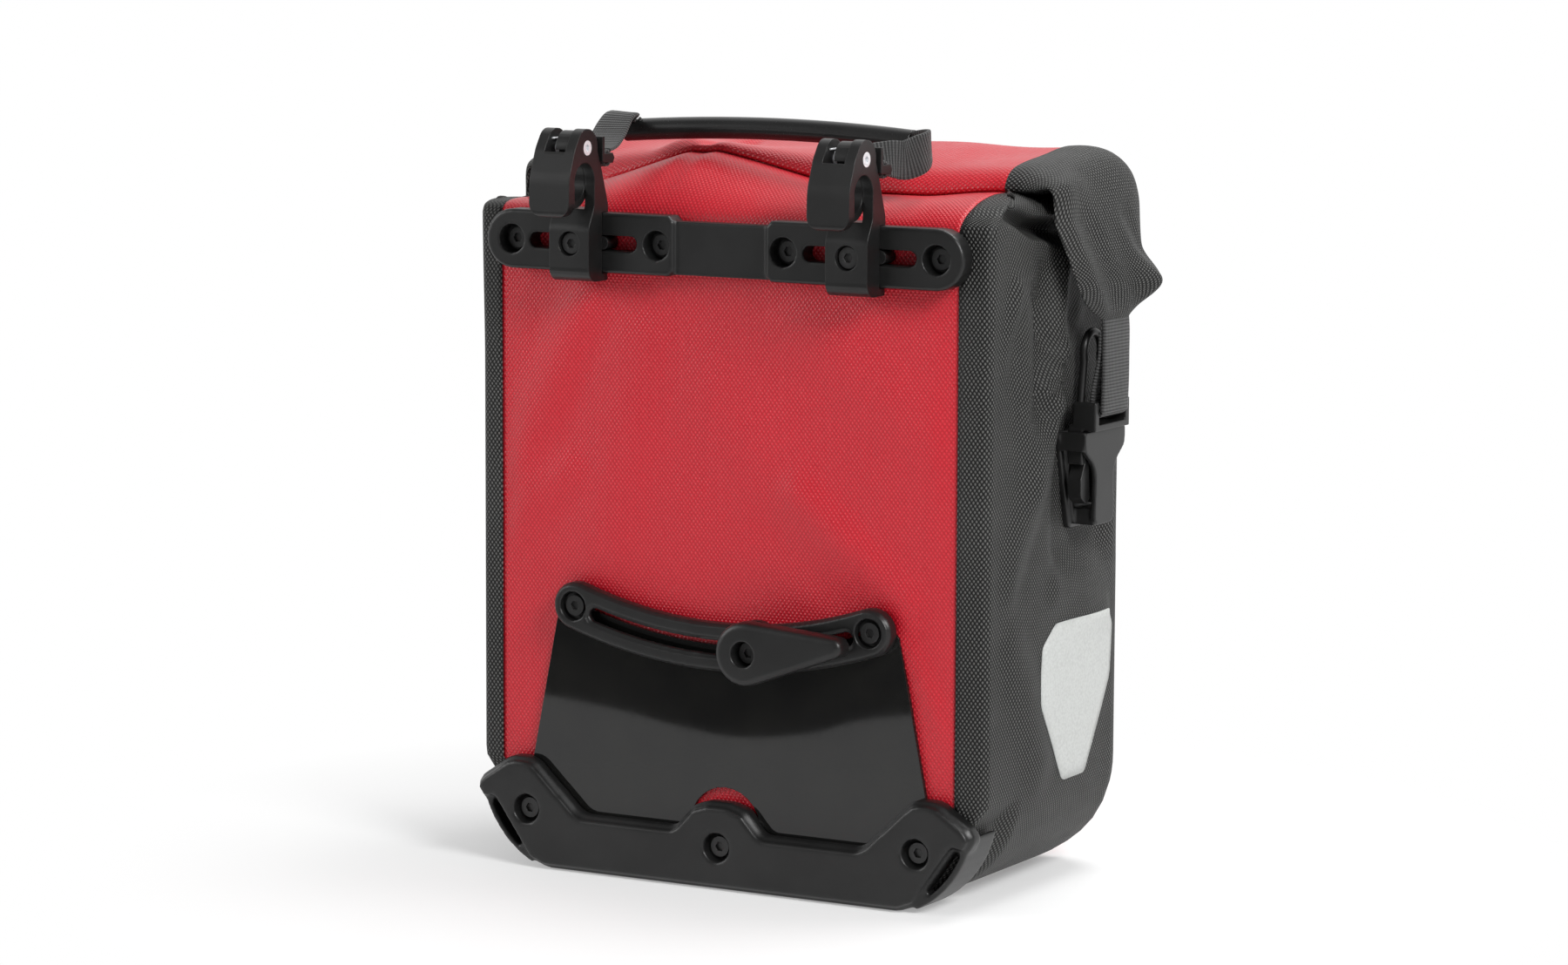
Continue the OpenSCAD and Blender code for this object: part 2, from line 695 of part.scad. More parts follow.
// Reflector film on the right side panel, in y and height along the leaning panel
module reflector() {
    shares = [[0.35, 0, 2], [0.64, 0, 3], [0.97, 0.57, 4], [1, 0.9, 4],
        [0.91, 1, 3], [0.21, 1, 3], [0.04, 0.87, 3], [0, 0.51, 4]];
    outline = rounded([for (p = shares)
        [p[0] * reflector_d - reflector_back, p[1] * reflector_h + reflector_low, p[2]]]);
    color(grey) translate([half_base, 0, 0]) rotate([0, tilt, 0]) bar(outline, 0, reflector_t);
}

module buckle_socket() {
    flange = rounded([[-9.5, socket_low_z, 3], [9.5, socket_low_z, 3], [socket_w / 2 + 1.5, buckle_z, 2],
        [-socket_w / 2 - 1.5, buckle_z, 2]]);
    waist = socket_waist_w / 2;
    window_low = socket_low_z + 9;
    shoulder_z = buckle_z - 11;
    face = rounded([[-waist - 1, socket_low_z + 2, 4], [waist + 1, socket_low_z + 2, 4],
        [waist, shoulder_z - 5, 10], [socket_w / 2, shoulder_z + 3, 5],
        [socket_w / 2, buckle_z, 1], [-socket_w / 2, buckle_z, 1],
        [-socket_w / 2, shoulder_z + 3, 5], [-waist, shoulder_z - 5, 10]]);
    color(black_plastic) translate([0, buckle_y, 0]) {
        intersection() {
            outside();
            union() {
                bar(flange, panel_x - 6, panel_x + 2.6);
                bar(rounded([[-9, socket_low_z + 2, 2], [9, socket_low_z + 2, 2], [mouth_half, buckle_z - 1, 1],
                    [-mouth_half, buckle_z - 1, 1]]), panel_x - 6, socket_pad_x);
            }
        }
        bar(face, socket_face_x - socket_face_wall, socket_face_x);
        translate([socket_pad_x - 1, -waist, socket_low_z + 2])
            cube([socket_face_x - socket_pad_x, 2 * waist, window_low - socket_low_z - 2]);
        for (s = [-1, 1])
            translate([panel_x + 1, s * (mouth_half + socket_wall / 2) - socket_wall / 2, shoulder_z + 3])
                cube([socket_face_x - panel_x - 2, socket_wall, buckle_z - shoulder_z - 3]);
    }
}

module buckle_plug() {
    arm_half = 1.8;
    arm_y = bar_half + arm_half;
    frame_t = bar_half + 2 * arm_half;
    ring_lean = 20;
    color(black_plastic) translate([0, buckle_y, 0]) difference() {
        union() {
            // Tongue that goes into the mouth, with a guide rib between the prongs
            translate([plug_x, -plug_half, prong_z - 2]) cube([plug_t, 2 * plug_half, buckle_z - prong_z + 3]);
            translate([plug_x + 1, -3, socket_low_z + 11]) cube([plug_t - 2, 6, prong_z - socket_low_z - 10]);
            // Collar and side arms round the strap bar
            translate([plug_x, -frame_t, buckle_z + buckle_gap]) cube([plug_t + 6, 2 * frame_t, 2.6]);
            for (s = [-1, 1]) bar(rounded([
                [s * arm_y - arm_half, buckle_z + 2, 0], [s * arm_y + arm_half, buckle_z + 2, 0],
                [s * arm_y + arm_half, plug_bar_z + 3.4, 1.2], [s * arm_y - arm_half, plug_bar_z + 3.4, 1.2]]),
                plug_x + 2, plug_x + plug_t + 6);
            translate([plug_bar_x, -bar_half - 1, plug_bar_z]) rotate([-90, 0, 0])
                cylinder(h = 2 * bar_half + 2, r = plug_bar_r);
            // Ring for a shoulder strap
            translate([plug_x + 3, 0, ring_z]) {
                rotate([90, 0, 90]) rotate([0, 0, -ring_lean]) rotate_extrude(angle = 180 + 2 * ring_lean)
                    translate([ring_r, 0]) circle(ring_rod_r);
                for (s = [-1, 1]) translate([0, s * ring_r * cos(ring_lean), -ring_r * sin(ring_lean)])
                    rotate([s * atan((ring_r * cos(ring_lean) - 3) / (ring_rise - 5)), 0, 0])
                        rotate([180, 0, 0]) cylinder(h = ring_rise - ring_r * sin(ring_lean) - 1, r = ring_rod_r);
            }
        }
        for (s = [-1, 1]) {
            rod_x(prong_root_r + buckle_gap, plug_x - 1, plug_far_x + 1, s * prong_y, prong_z);
            translate([plug_x - 1, s * prong_y - prong_root_r - 1.4, prong_z - 6])
                cube([plug_t + 2, 2 * prong_root_r + 2.8, 6]);
        }
    }
}

// Prong on the side s of the plug, with its catch low in the socket's window
module prong(s) {
    tip_z = socket_low_z + 11;
    outline = rounded([[8.6, tip_z + 3, 1], [11, tip_z, 1.5], [mouth_half - buckle_gap, tip_z + 4, 2.5],
        [mouth_half - buckle_gap, tip_z + 11, 2.5], [12.4, prong_z, 0], [9.8, prong_z, 0]], 4);
    color(black_plastic) translate([0, buckle_y, 0]) mirror([0, s < 0 ? 1 : 0, 0]) {
        bar(outline, plug_x + 0.4, plug_far_x - 0.4);
        rod_x(prong_root_r, plug_x + 0.4, plug_far_x - 0.4, prong_y, prong_z);
    }
}

module closure_strap() color(black_fabric) translate([0, buckle_y, 0]) difference() {
    union() {
        translate([plug_bar_x, -strap_w / 2, plug_bar_z]) rotate([-90, 0, 0])
            cylinder(h = strap_w, r = strap_in_r + strap_t);
        translate([strap_x, -strap_w / 2, plug_bar_z]) cube([strap_t, strap_w, ear_low_z - plug_bar_z]);
    }
    translate([plug_bar_x, -strap_w, plug_bar_z]) rotate([-90, 0, 0]) cylinder(h = 2 * strap_w, r = strap_in_r);
}

// Side view of the rolled closure
roll_outline = rounded([[roll_back_y, roll_low, 3], [roll_front_y, roll_low, 5],
    [roll_front_y + 1, roll_low + roll_front_h * 0.6, 7],
    [roll_front_y - roll_slope_d, roll_low + roll_front_h, roll_top_r],
    [roll_back_y + 4, roll_low + roll_back_h, 5]]);
strip_y = roll_back_y + strip_in;
strip_z = roll_low + strip_up;

module rolled_closure() color(red) difference() {
    bar(roll_outline, -panel_w / 2, panel_w / 2);
    translate([-panel_w, strip_y - clear, strip_z - clear])
        cube([2 * panel_w, strip_w + 2 * clear, strip_t + 2 * clear]);
}

module closure_stiffener() color(black_plastic)
    translate([-panel_w / 2 + clear, strip_y, strip_z]) cube([panel_w - 2 * clear, strip_w, strip_t]);

module roll_end() color(black_fabric) {
    bar(roll_outline, panel_w / 2, roll_end_x - 4);
    hull() {
        bar(rounded([
            [roll_back_y + 8, roll_low + 2, 4],
            [roll_front_y - 2, roll_low + 2, 4],
            [roll_front_y - 4, roll_low + roll_front_h - 4, 6],
            [roll_back_y + 10, roll_low + roll_back_h - 2, 4]], 4), ear_in_x, roll_end_x);
        translate([roll_end_x + 1, buckle_y - 8, ear_low_z + 11]) cube([5, 20, 8]);
        translate([strap_x - 2.5, buckle_y - strap_w / 2 - 1, ear_low_z]) cube([8, strap_w + 2, 3]);
    }
}

// Side view of the hook: clamp round the rail, arm, round top and nose
hook_outline = let (g = slide_gap) rounded(concat(
    [[rail_face + 4.5, rail_low - 3.4, 1],
        [rail_face + 4.5, rail_low - g, 0],
        [rail_face - g, rail_low - g, 0],
        [rail_face - g, rail_top + g, 0],
        [pin_y + 16.8, rail_top + g, 0.5],
        [pin_y + 16.4, rail_top + 4.5, 2],
        [pin_y + 11.5, pin_z - 10, 0]],
    [for (p = arc([pin_y, pin_z], cheek_r, -10, 90, 8)) [p[0], p[1], 0]],
    [[pin_y - 4.4, pin_z + cheek_r, 7],
        [tube_y - gap_half + 0.5, pin_z, 14],
        [tube_y - gap_half - nose_t + 0.6, tube_z + 2, 20],
        [tube_y - gap_half - nose_t, nose_low, 2.4],
        [tube_y - gap_half, nose_low, 1.5],
        [tube_y - gap_half, tube_z, 0],
        [tube_y + gap_half, tube_z, 0],
        [tube_y + gap_half, tube_z - 11, 6],
        [hook_face, tube_z - 20, 8],
        [hook_face, rail_low - 3.4, 6]]));

lever_half = lever_slot_w / 2 - lever_gap;
slot_floor = rail_top + 1.8;
head_r = 3.2;

module hook() color(black_plastic) translate([hook_x, 0, 0]) difference() {
    intersection() {
        bar(hook_outline, -hook_w / 2, hook_w / 2);
        // Round the corners of the nose and of the clamp seen from the back
        union() {
            slab(rounded([[-hook_w / 2, nose_low, 6], [hook_w / 2, nose_low, 6], [hook_w / 2, pin_z + 20, 0],
                [-hook_w / 2, pin_z + 20, 0]]), tube_y - far, tube_y);
            translate([-hook_w / 2, tube_y, 0]) cube([hook_w, far, far]);
        }
    }
    rod_x(tube_r, -hook_w, hook_w, tube_y, tube_z);
    // Relief between the cheeks, so that the tube bears on the two cheeks alone
    rod_x(tube_r + clear, -lever_slot_w / 2, lever_slot_w / 2, tube_y, tube_z);
    // Slot for the lever, open behind and through a window at the top of the nose
    bar([[tube_y - gap_half, slot_floor], [back_y + 10, slot_floor], [back_y + 10, pin_z + 20],
        [tube_y - far / 8, pin_z + 20], [tube_y - far / 8, pin_z - 0.5], [tube_y - gap_half, pin_z - 0.5]],
        -lever_slot_w / 2, lever_slot_w / 2);
    rod_x(pin_r + lap, -hook_w, hook_w, pin_y, pin_z);
    for (s = [-1, 1]) rod_x(head_r + lap, s * hook_w / 2 - 1.4, s * hook_w / 2 + 1.4, pin_y, pin_z);
    rod_y(screw_sink_r - 1, hook_face - 1, hook_face + 4, 0, rail_z);
    rod_y(screw_r + screw_play, hook_face - 1, rail_face + 1, 0, rail_z);
}

module hook_screw() color(black_plastic) screw(hook_x, rail_z, hook_face + 4, back_y - 1);

module hook_runner() color(black_plastic) {
    half = 13;
    end_r = slot_h / 2 - clear;
    difference() {
        union() {
            translate([hook_x - half + end_r, rail_face - slide_gap, rail_z - end_r])
                cube([2 * (half - end_r), rail_t + slide_gap - 0.6, 2 * end_r]);
            for (s = [-1, 1])
                rod_y(end_r - lap, rail_face - slide_gap, back_y - 0.6, hook_x + s * (half - end_r), rail_z);
        }
        rod_y(screw_r + lap, rail_face - 1, back_y, hook_x, rail_z);
    }
}

module hook_pin() color(steel) difference() {
    head_half = 0.6;
    head_x = hook_w / 2 - head_half;
    union() {
        rod_x(pin_r, hook_x - hook_w / 2, hook_x + hook_w / 2, pin_y, pin_z);
        for (s = [-1, 1])
            rod_x(head_r, hook_x + s * head_x - head_half, hook_x + s * head_x + head_half, pin_y, pin_z);
    }
    for (s = [-1, 1]) translate([hook_x + s * head_x - 1, pin_y, pin_z]) rotate([0, 90, 0])
        cylinder(h = 2, r = 1.6, $fn = 6);
}

// Jaw of the lever: part of a ring round the rack tube, from above it to below it
jaw_outline = concat(arc([tube_y, tube_z], tube_r + clear + jaw_t, 72, -110, 20),
    arc([tube_y, tube_z], tube_r + clear, -110, 72, 20));
spring_room = spring_turns * 1.25 + spring_wire + 0.25;
cover_r = cheek_r - 0.8;

module lever() {
    frame_half = handle_strap_w / 2 + 2;
    tab_y = pin_y + 10.7;
    color(black_plastic) translate([hook_x, 0, 0]) difference() {
        union() {
            rod_x(5, -lever_half + spring_room, lever_half, pin_y, pin_z);
            // Cover behind the window, round about the pin so that it clears the hook as the lever turns
            bar(concat([[pin_y, pin_z]], arc([pin_y, pin_z], cover_r, 20, 185, 14)),
                -lever_half + spring_room, lever_half);
            bar(jaw_outline, -lever_half + spring_room, lever_half);
            bar([[pin_y, pin_z - 4.9], [tab_y + 1, pin_z - 5.4], [tab_y + 1, pin_z + 1], [pin_y, pin_z + 2.5]],
                -lever_half + spring_room, lever_half);
            // Tab and open frame that hold the bar of the handle webbing
            bar(rounded([[tab_y, pin_z - 6.6, 0.6], [tab_y + 1.6, pin_z - 6.6, 0.6],
                [tab_y + 1.6, pin_z + 4.5, 0.6], [tab_y, pin_z + 4.5, 0.6]], 3), -frame_half, frame_half);
            for (s = [-1, 1]) bar([[tab_y + 0.5, pin_z - 6.6], [bar_y + 1, bar_z - 2.2], [bar_y + 2.4, bar_z],
                [bar_y + 1, bar_z + 2.2], [tab_y + 0.5, bar_z + 2.2]],
                s * (frame_half - 0.85) - 0.85, s * (frame_half - 0.85) + 0.85);
            rod_x(bar_r, -frame_half, frame_half, bar_y, bar_z);
        }
        rod_x(pin_r + pin_play, -hook_w, hook_w, pin_y, pin_z);
    }
}

// Lever spring: one wire, from a straight leg at the nose, round the pin, to a straight leg at the tab
spring_r = 4.1;
spring_pitch = 1.25;
spring_x0 = -lever_half + spring_wire / 2 + 0.05;
spring_back = pin_y + 10.7 - 0.1;
spring_fore = pin_y - 5.2;
spring_ring_n = 8;
spring_path = concat(
    [[spring_x0, spring_fore, pin_z + spring_r], [spring_x0, spring_fore + spring_wire, pin_z + spring_r]],
    [for (i = [0 : spring_ring_n * spring_turns]) let (a = 90 - 360 * i / spring_ring_n)
        [spring_x0 + spring_pitch * i / spring_ring_n, pin_y + spring_r * cos(a), pin_z + spring_r * sin(a)]],
    [let (up = spring_turns % 1 == 0 ? 1 : -1)
        [spring_x0 + spring_pitch * spring_turns, spring_back - spring_wire, pin_z + up * spring_r],
    let (up = spring_turns % 1 == 0 ? 1 : -1)
        [spring_x0 + spring_pitch * spring_turns, spring_back, pin_z + up * spring_r]]);

// Least distance between stretches of the wire that are half a turn or more apart, less the wire
spring_self_gap = min([for (i = [0 : len(spring_path) - 1], j = [i + 4 : 1 : len(spring_path) - 1])
    norm(spring_path[i] - spring_path[j])]) - spring_wire;
echo(spring_self_gap = spring_self_gap);

// Tube of 6 sides along a path
module wire(path, r) {
    m = len(path);
    tangent = [for (i = [0 : m - 1]) unit(path[min(i + 1, m - 1)] - path[max(i - 1, 0)])];
    side = [for (t = tangent) unit(cross(t, [1, 0.02, 0.03]))];
    points = [for (i = [0 : m - 1], k = [0 : 5])
        path[i] + r * (cos(60 * k) * side[i] + sin(60 * k) * cross(tangent[i], side[i]))];
    sides = [for (i = [0 : m - 2], k = [0 : 5]) each [
        [6 * i + k, 6 * i + 6 + k, 6 * i + (k + 1) % 6],
        [6 * i + (k + 1) % 6, 6 * i + 6 + k, 6 * i + 6 + (k + 1) % 6]]];
    polyhedron(points = points, faces = concat([[for (k = [0 : 5]) k]], sides,
        [[for (k = [5 : -1 : 0]) 6 * (m - 1) + k]]), convexity = 4);
}

module lever_spring() color(steel) translate([hook_x, 0, 0]) wire(spring_path, spring_wire / 2);

// Sewn end of the handle webbing round the lever's bar, with room for the bar's arc as the lever turns
module handle_loop() color(black_fabric) difference() {
    rod_x(loop_out_r, hook_x - handle_strap_w / 2, hook_x + handle_strap_w / 2, bar_y, bar_z);
    rod_x(bar_r + 0.7, hook_x - far, hook_x + far, bar_y + 0.4, bar_z);
}

// Part of a ring in the plane of the grip, of radius r round the grip's long curve
module grip_curve(r, half) {
    translate([0, grip_y, grip_z - grip_bend_r]) rotate([90, 0, 0]) rotate([0, 0, 90 - half])
        rotate_extrude(angle = 2 * half, $fn = 96) translate([grip_bend_r, 0]) circle(r);
}

module handle_tube() color(gloss_black) difference() {
    grip_curve(grip_r, grip_half_angle);
    grip_curve(grip_bore_r, grip_half_angle + 1);
}

module handle_webbing() {
    end_x = grip_len / 2 + 3;
    start_y = bar_y + loop_out_r + clear;
    color(black_fabric) {
        grip_curve(grip_bore_r - clear, grip_half_angle + 0.45);
        for (s = [0, 1]) mirror([s, 0, 0]) hull() {
            translate([hook_x - handle_strap_w / 2, start_y, bar_z + 0.6])
                cube([handle_strap_w, 1, handle_strap_t]);
            translate([end_x, grip_y - 3, grip_end_z - 3]) cube([9, 5, 5.5]);
        }
    }
}

module left() {
    mirror([1, 0, 0]) children();
}

// The left hook is a copy of the right one, moved, because both levers stand the same way round
module left_copy() {
    translate([-2 * hook_x, 0, 0]) children();
}

panel_length(-far / 2, 0, base_seam_z, shoulder_seam_z);  // back_panel
panel_length(0, far / 2, base_seam_z, shoulder_seam_z);  // front_panel
panel_length(-far / 2, far / 2, -1, base_seam_z);  // base_panel
panel_length(-far / 2, far / 2, shoulder_seam_z, far);  // shoulder_panel
left() side_panel();  // left_side_panel
side_panel();  // right_side_panel
stiffener_board();
top_rail();
rail_screws();
backing_nuts();
wear_plate();
arched_rail();
arched_rail_screws();
bottom_guard();
guard_screws();
left() reflector();  // left_reflector
reflector();  // right_reflector
left() buckle_socket();  // left_buckle_socket
buckle_socket();  // right_buckle_socket
left_copy() hook();  // left_hook
left_copy() hook_screw();  // left_hook_screw
left_copy() hook_runner();  // left_hook_runner
left_copy() hook_pin();  // left_hook_pin
left_copy() lever();  // left_lever
left_copy() lever_spring();  // left_lever_spring
hook();  // right_hook
hook_screw();  // right_hook_screw
hook_runner();  // right_hook_runner
hook_pin();  // right_hook_pin
lever();  // right_lever
lever_spring();  // right_lever_spring
left_copy() handle_loop();  // left_handle_loop
handle_loop();  // right_handle_loop
handle_webbing();
handle_tube();
rolled_closure();
left() roll_end();  // left_roll_end
roll_end();  // right_roll_end
closure_stiffener();
left() closure_strap();  // left_closure_strap
closure_strap();  // right_closure_strap
left() buckle_plug();  // left_buckle_plug
left() prong(1);  // left_front_prong
left() prong(-1);  // left_rear_prong
buckle_plug();  // right_buckle_plug
prong(1);  // right_front_prong
prong(-1);  // right_rear_prong
anchor_runner();
anchor_washer();
anchor_screw();
anchor_hook();
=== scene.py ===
"""Visual model of a roll-top pannier bag, built over its CAD frame."""

import json
import math

import bpy
from mathutils import Matrix, Vector


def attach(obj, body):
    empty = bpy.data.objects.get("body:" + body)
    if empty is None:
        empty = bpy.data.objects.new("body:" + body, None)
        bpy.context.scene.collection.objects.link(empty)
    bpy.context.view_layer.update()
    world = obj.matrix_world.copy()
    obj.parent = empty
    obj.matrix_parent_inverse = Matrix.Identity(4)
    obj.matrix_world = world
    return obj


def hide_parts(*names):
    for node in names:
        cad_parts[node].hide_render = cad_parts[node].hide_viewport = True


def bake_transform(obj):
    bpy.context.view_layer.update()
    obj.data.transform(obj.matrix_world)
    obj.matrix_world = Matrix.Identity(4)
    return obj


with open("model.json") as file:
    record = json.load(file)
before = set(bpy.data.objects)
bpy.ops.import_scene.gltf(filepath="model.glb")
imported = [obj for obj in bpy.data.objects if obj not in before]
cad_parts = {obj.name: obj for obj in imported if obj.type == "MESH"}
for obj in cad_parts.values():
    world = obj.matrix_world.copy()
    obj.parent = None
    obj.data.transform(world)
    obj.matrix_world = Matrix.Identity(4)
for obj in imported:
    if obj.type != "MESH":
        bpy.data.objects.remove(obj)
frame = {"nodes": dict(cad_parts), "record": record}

bl_info = {
    "name": "Roll-top pannier bag",
    "version": (1, 0, 0),
    "blender": (4, 5, 0),
    "location": "View3D > Sidebar > Pannier",
    "description": "Builds the fabric, webbing and finishes of a roll-top pannier bag over its CAD frame",
    "category": "Object",
}

MM = 0.001
SIDES = (("left", -1), ("right", 1))

# Sizes shared by the fabric pieces, in millimetres
BACK_Y = -67.0
FRONT_Y = 67.0
SEAM_X = 111.0
SEAM_LEFT = 115.0
HALF_BASE = 118.0
HALF_FULL = 125.0
HALF_TOP = 126.0
BODY_H = 298.0
BASE_R = 44.0
SOFT_R = 50.0
BASE_LOW = 2.9
BACK_R = 3.6
FRONT_R = 15.0
BUCKLE_Y = 18.0
RING_BACK_Y = -26.0
RING_FRONT_Y = 50.0
RING_X = 113.0
RING_Z = 300.4


# Numbers and curves

def smooth(t):
    t = min(1.0, max(0.0, t))
    return t * t * (3.0 - 2.0 * t)


def mix(a, b, t):
    return a + (b - a) * t


def window(v, low, high, soft):
    """1 between low and high, falling to 0 over soft inside each end."""
    return smooth((v - low) / soft) * smooth((high - v) / soft)


def bump(v, middle, half):
    t = abs(v - middle) / half
    return 0.0 if t >= 1.0 else 0.5 + 0.5 * math.cos(math.pi * t)


def ridge(u, v, a, b, half):
    """Soft ridge from a to b: 1 on the line, falling to 0 half away from it."""
    du = b[0] - a[0]
    dv = b[1] - a[1]
    run = math.hypot(du, dv)
    along = ((u - a[0]) * du + (v - a[1]) * dv) / run
    off = ((u - a[0]) * dv - (v - a[1]) * du) / run
    return bump(off, 0.0, half) * window(along, -half, run + half, half)


def creased(u, v, lines):
    """Sum of soft ridges, each given as its two ends, half its width and its height."""
    return sum(height * ridge(u, v, a, b, half) for a, b, half, height in lines)


def spline(a, b, c, d, t):
    """Smooth curve from b to c, with a before them and d after them."""
    t2 = t * t
    t3 = t2 * t
    return tuple(0.5 * (2 * q + (r - p) * t + (2 * p - 5 * q + 4 * r - s) * t2 + (3 * q - p - 3 * r + s) * t3)
                 for p, q, r, s in zip(a, b, c, d))


def through(points, steps, closed=False):
    """Points of a smooth curve through the given ones, steps to each stretch."""
    n = len(points)
    out = []
    for i in range(n if closed else n - 1):
        if closed:
            a, b, c, d = (points[(i + k - 1) % n] for k in range(4))
        else:
            a, b, c, d = (points[min(n - 1, max(0, i + k - 1))] for k in range(4))
        out.extend(spline(a, b, c, d, k / steps) for k in range(steps))
    if not closed:
        out.append(tuple(points[-1]))
    return out


def level(points, v):
    """Height at v of a soft line through (place, height) points."""
    if v <= points[0][0]:
        return points[0][1]
    for (a, za), (b, zb) in zip(points, points[1:]):
        if v <= b:
            return mix(za, zb, smooth((v - a) / (b - a)))
    return points[-1][1]


def bezier(p, t):
    s = 1.0 - t
    w = (s * s * s, 3 * s * s * t, 3 * s * t * t, t * t * t)
    return tuple(sum(k * q[i] for k, q in zip(w, p)) for i in range(3))


# Meshes

def mesh_object(name, verts, faces, uvs=None):
    """New object from points in millimetres."""
    mesh = bpy.data.meshes.new(name)
    mesh.from_pydata([(x * MM, y * MM, z * MM) for x, y, z in verts], [], faces)
    if uvs:
        layer = mesh.uv_layers.new(name="UVMap")
        for loop in mesh.loops:
            layer.data[loop.index].uv = uvs[loop.vertex_index]
    mesh.polygons.foreach_set("use_smooth", [True] * len(mesh.polygons))
    mesh.update()
    obj = bpy.data.objects.new(name, mesh)
    bpy.context.scene.collection.objects.link(obj)
    return obj


def lengths(points):
    total = 0.0
    out = [0.0]
    for a, b in zip(points, points[1:]):
        total += math.dist(a, b)
        out.append(total)
    return out


def grid_data(rows, closed=False, flip=False):
    """Points, faces and cloth coordinates of a grid. A closed grid joins its last column to its first."""
    m = len(rows[0])
    verts = [p for row in rows for p in row]
    faces = []
    for j in range(len(rows) - 1):
        for i in range(m if closed else m - 1):
            k = (i + 1) % m
            face = (j * m + i, j * m + k, (j + 1) * m + k, (j + 1) * m + i)
            faces.append(face[::-1] if flip else face)
    along = [lengths(row) for row in rows]
    up = lengths([row[m // 2] for row in rows])
    uvs = [((along[j][i] - along[j][-1] / 2) * MM, up[j] * MM) for j in range(len(rows)) for i in range(m)]
    return verts, faces, uvs


def joined(parts):
    """One set of points, faces and cloth coordinates from several."""
    verts, faces, uvs = [], [], []
    for v, f, u in parts:
        shift = len(verts)
        verts.extend(v)
        faces.extend(tuple(i + shift for i in face) for face in f)
        uvs.extend(u)
    return verts, faces, uvs


def capped(rows):
    """Closed tube through rings of points, with both ends shut."""
    verts, faces, uvs = grid_data(rows, closed=True)
    m = len(rows[0])
    for j, turn in ((0, 1), (len(rows) - 1, -1)):
        middle = tuple(sum(p[i] for p in rows[j]) / m for i in range(3))
        hub = len(verts)
        verts.append(middle)
        uvs.append(uvs[j * m])
        for i in range(m):
            a = j * m + i
            b = j * m + (i + 1) % m
            faces.append((hub, b, a) if turn > 0 else (hub, a, b))
    return verts, faces, uvs


def add_solidify(obj, thickness_mm, offset=-1.0):
    mod = obj.modifiers.new("thickness", "SOLIDIFY")
    mod.thickness = thickness_mm * MM
    mod.offset = offset
    mod.use_quality_normals = True


def add_subsurf(obj, levels=1):
    mod = obj.modifiers.new("soft", "SUBSURF")
    mod.levels = levels
    mod.render_levels = levels


def ribbon(stations, width, thick, steps=6):
    """Flat strap along stations (point, direction across, share of the full width)."""
    rows = []
    points = through([tuple(p) + tuple(w) + (k,) for p, w, k in stations], steps)
    for i, q in enumerate(points):
        before = Vector(points[max(0, i - 1)][:3])
        after = Vector(points[min(len(points) - 1, i + 1)][:3])
        run = (after - before).normalized()
        side = Vector(q[3:6])
        side = (side - side.dot(run) * run).normalized()
        up = run.cross(side)
        half = width * q[6] / 2
        ring = []
        for a, b in ((-1, -0.35), (-0.9, -0.5), (-0.3, -0.5), (0.3, -0.5), (0.9, -0.5), (1, -0.35),
                     (1, 0.35), (0.9, 0.5), (0.3, 0.5), (-0.3, 0.5), (-0.9, 0.5), (-1, 0.35)):
            ring.append(tuple(Vector(q[:3]) + side * (a * half) + up * (b * thick)))
        rows.append(ring)
    verts, faces, _ = capped(rows)
    run = lengths([p[:3] for p in points])
    uvs = []
    for j in range(len(rows)):
        for k in range(12):
            across = math.dist(rows[j][k], rows[j][0])
            uvs.append((across * MM, run[j] * MM))
    uvs.extend([(0.0, 0.0), (0.0, run[-1] * MM)])
    return verts, faces, uvs


# Materials

def links(mat):
    mat.use_nodes = True
    tree = mat.node_tree
    return tree.nodes, tree.links, tree.nodes["Principled BSDF"]


def wave(nodes, net, coord, direction, pitch):
    """Bands across one direction, pitch metres apart."""
    node = nodes.new("ShaderNodeTexWave")
    node.wave_type = "BANDS"
    node.bands_direction = direction
    node.wave_profile = "SIN"
    node.inputs["Scale"].default_value = 2.0 * math.pi / (20.0 * pitch)
    node.inputs["Distortion"].default_value = 0.0
    net.new(coord, node.inputs["Vector"])
    return node.outputs["Fac"]


def noise(nodes, net, coord, scale, detail=3.0):
    node = nodes.new("ShaderNodeTexNoise")
    node.inputs["Scale"].default_value = scale
    node.inputs["Detail"].default_value = detail
    net.new(coord, node.inputs["Vector"])
    return node.outputs["Fac"]


def maths(nodes, net, kind, a, b):
    node = nodes.new("ShaderNodeMath")
    node.operation = kind
    for k, value in enumerate((a, b)):
        if isinstance(value, (int, float)):
            node.inputs[k].default_value = value
        else:
            net.new(value, node.inputs[k])
    return node.outputs[0]


def ramp(nodes, net, fac, stops):
    node = nodes.new("ShaderNodeValToRGB")
    ends = node.color_ramp.elements
    for k, (place, colour) in enumerate(stops):
        stop = ends[k] if k < 2 else ends.new(place)
        stop.position = place
        stop.color = (*colour, 1.0)
    net.new(fac, node.inputs["Fac"])
    return node.outputs["Color"]


def bumped(nodes, net, height, distance, normal=None, strength=1.0):
    node = nodes.new("ShaderNodeBump")
    node.inputs["Strength"].default_value = strength
    node.inputs["Distance"].default_value = distance
    net.new(height, node.inputs["Height"])
    if normal is not None:
        net.new(normal, node.inputs["Normal"])
    return node.outputs["Normal"]


def weave(nodes, net, coord, across, up):
    """Staggered yarn crossings: 1 at each, 0 between. across and up are the steps to the next, in metres."""
    bands = []
    for turn in (1.0, -1.0):
        mapping = nodes.new("ShaderNodeMapping")
        mapping.inputs["Scale"].default_value = (1.0 / across, turn / up, 1.0)
        net.new(coord, mapping.inputs["Vector"])
        # A diagonal band is half as wide as an upright one of the same scale
        bands.append(wave(nodes, net, mapping.outputs["Vector"], "DIAGONAL", 0.5))
    return maths(nodes, net, "MULTIPLY", *bands)


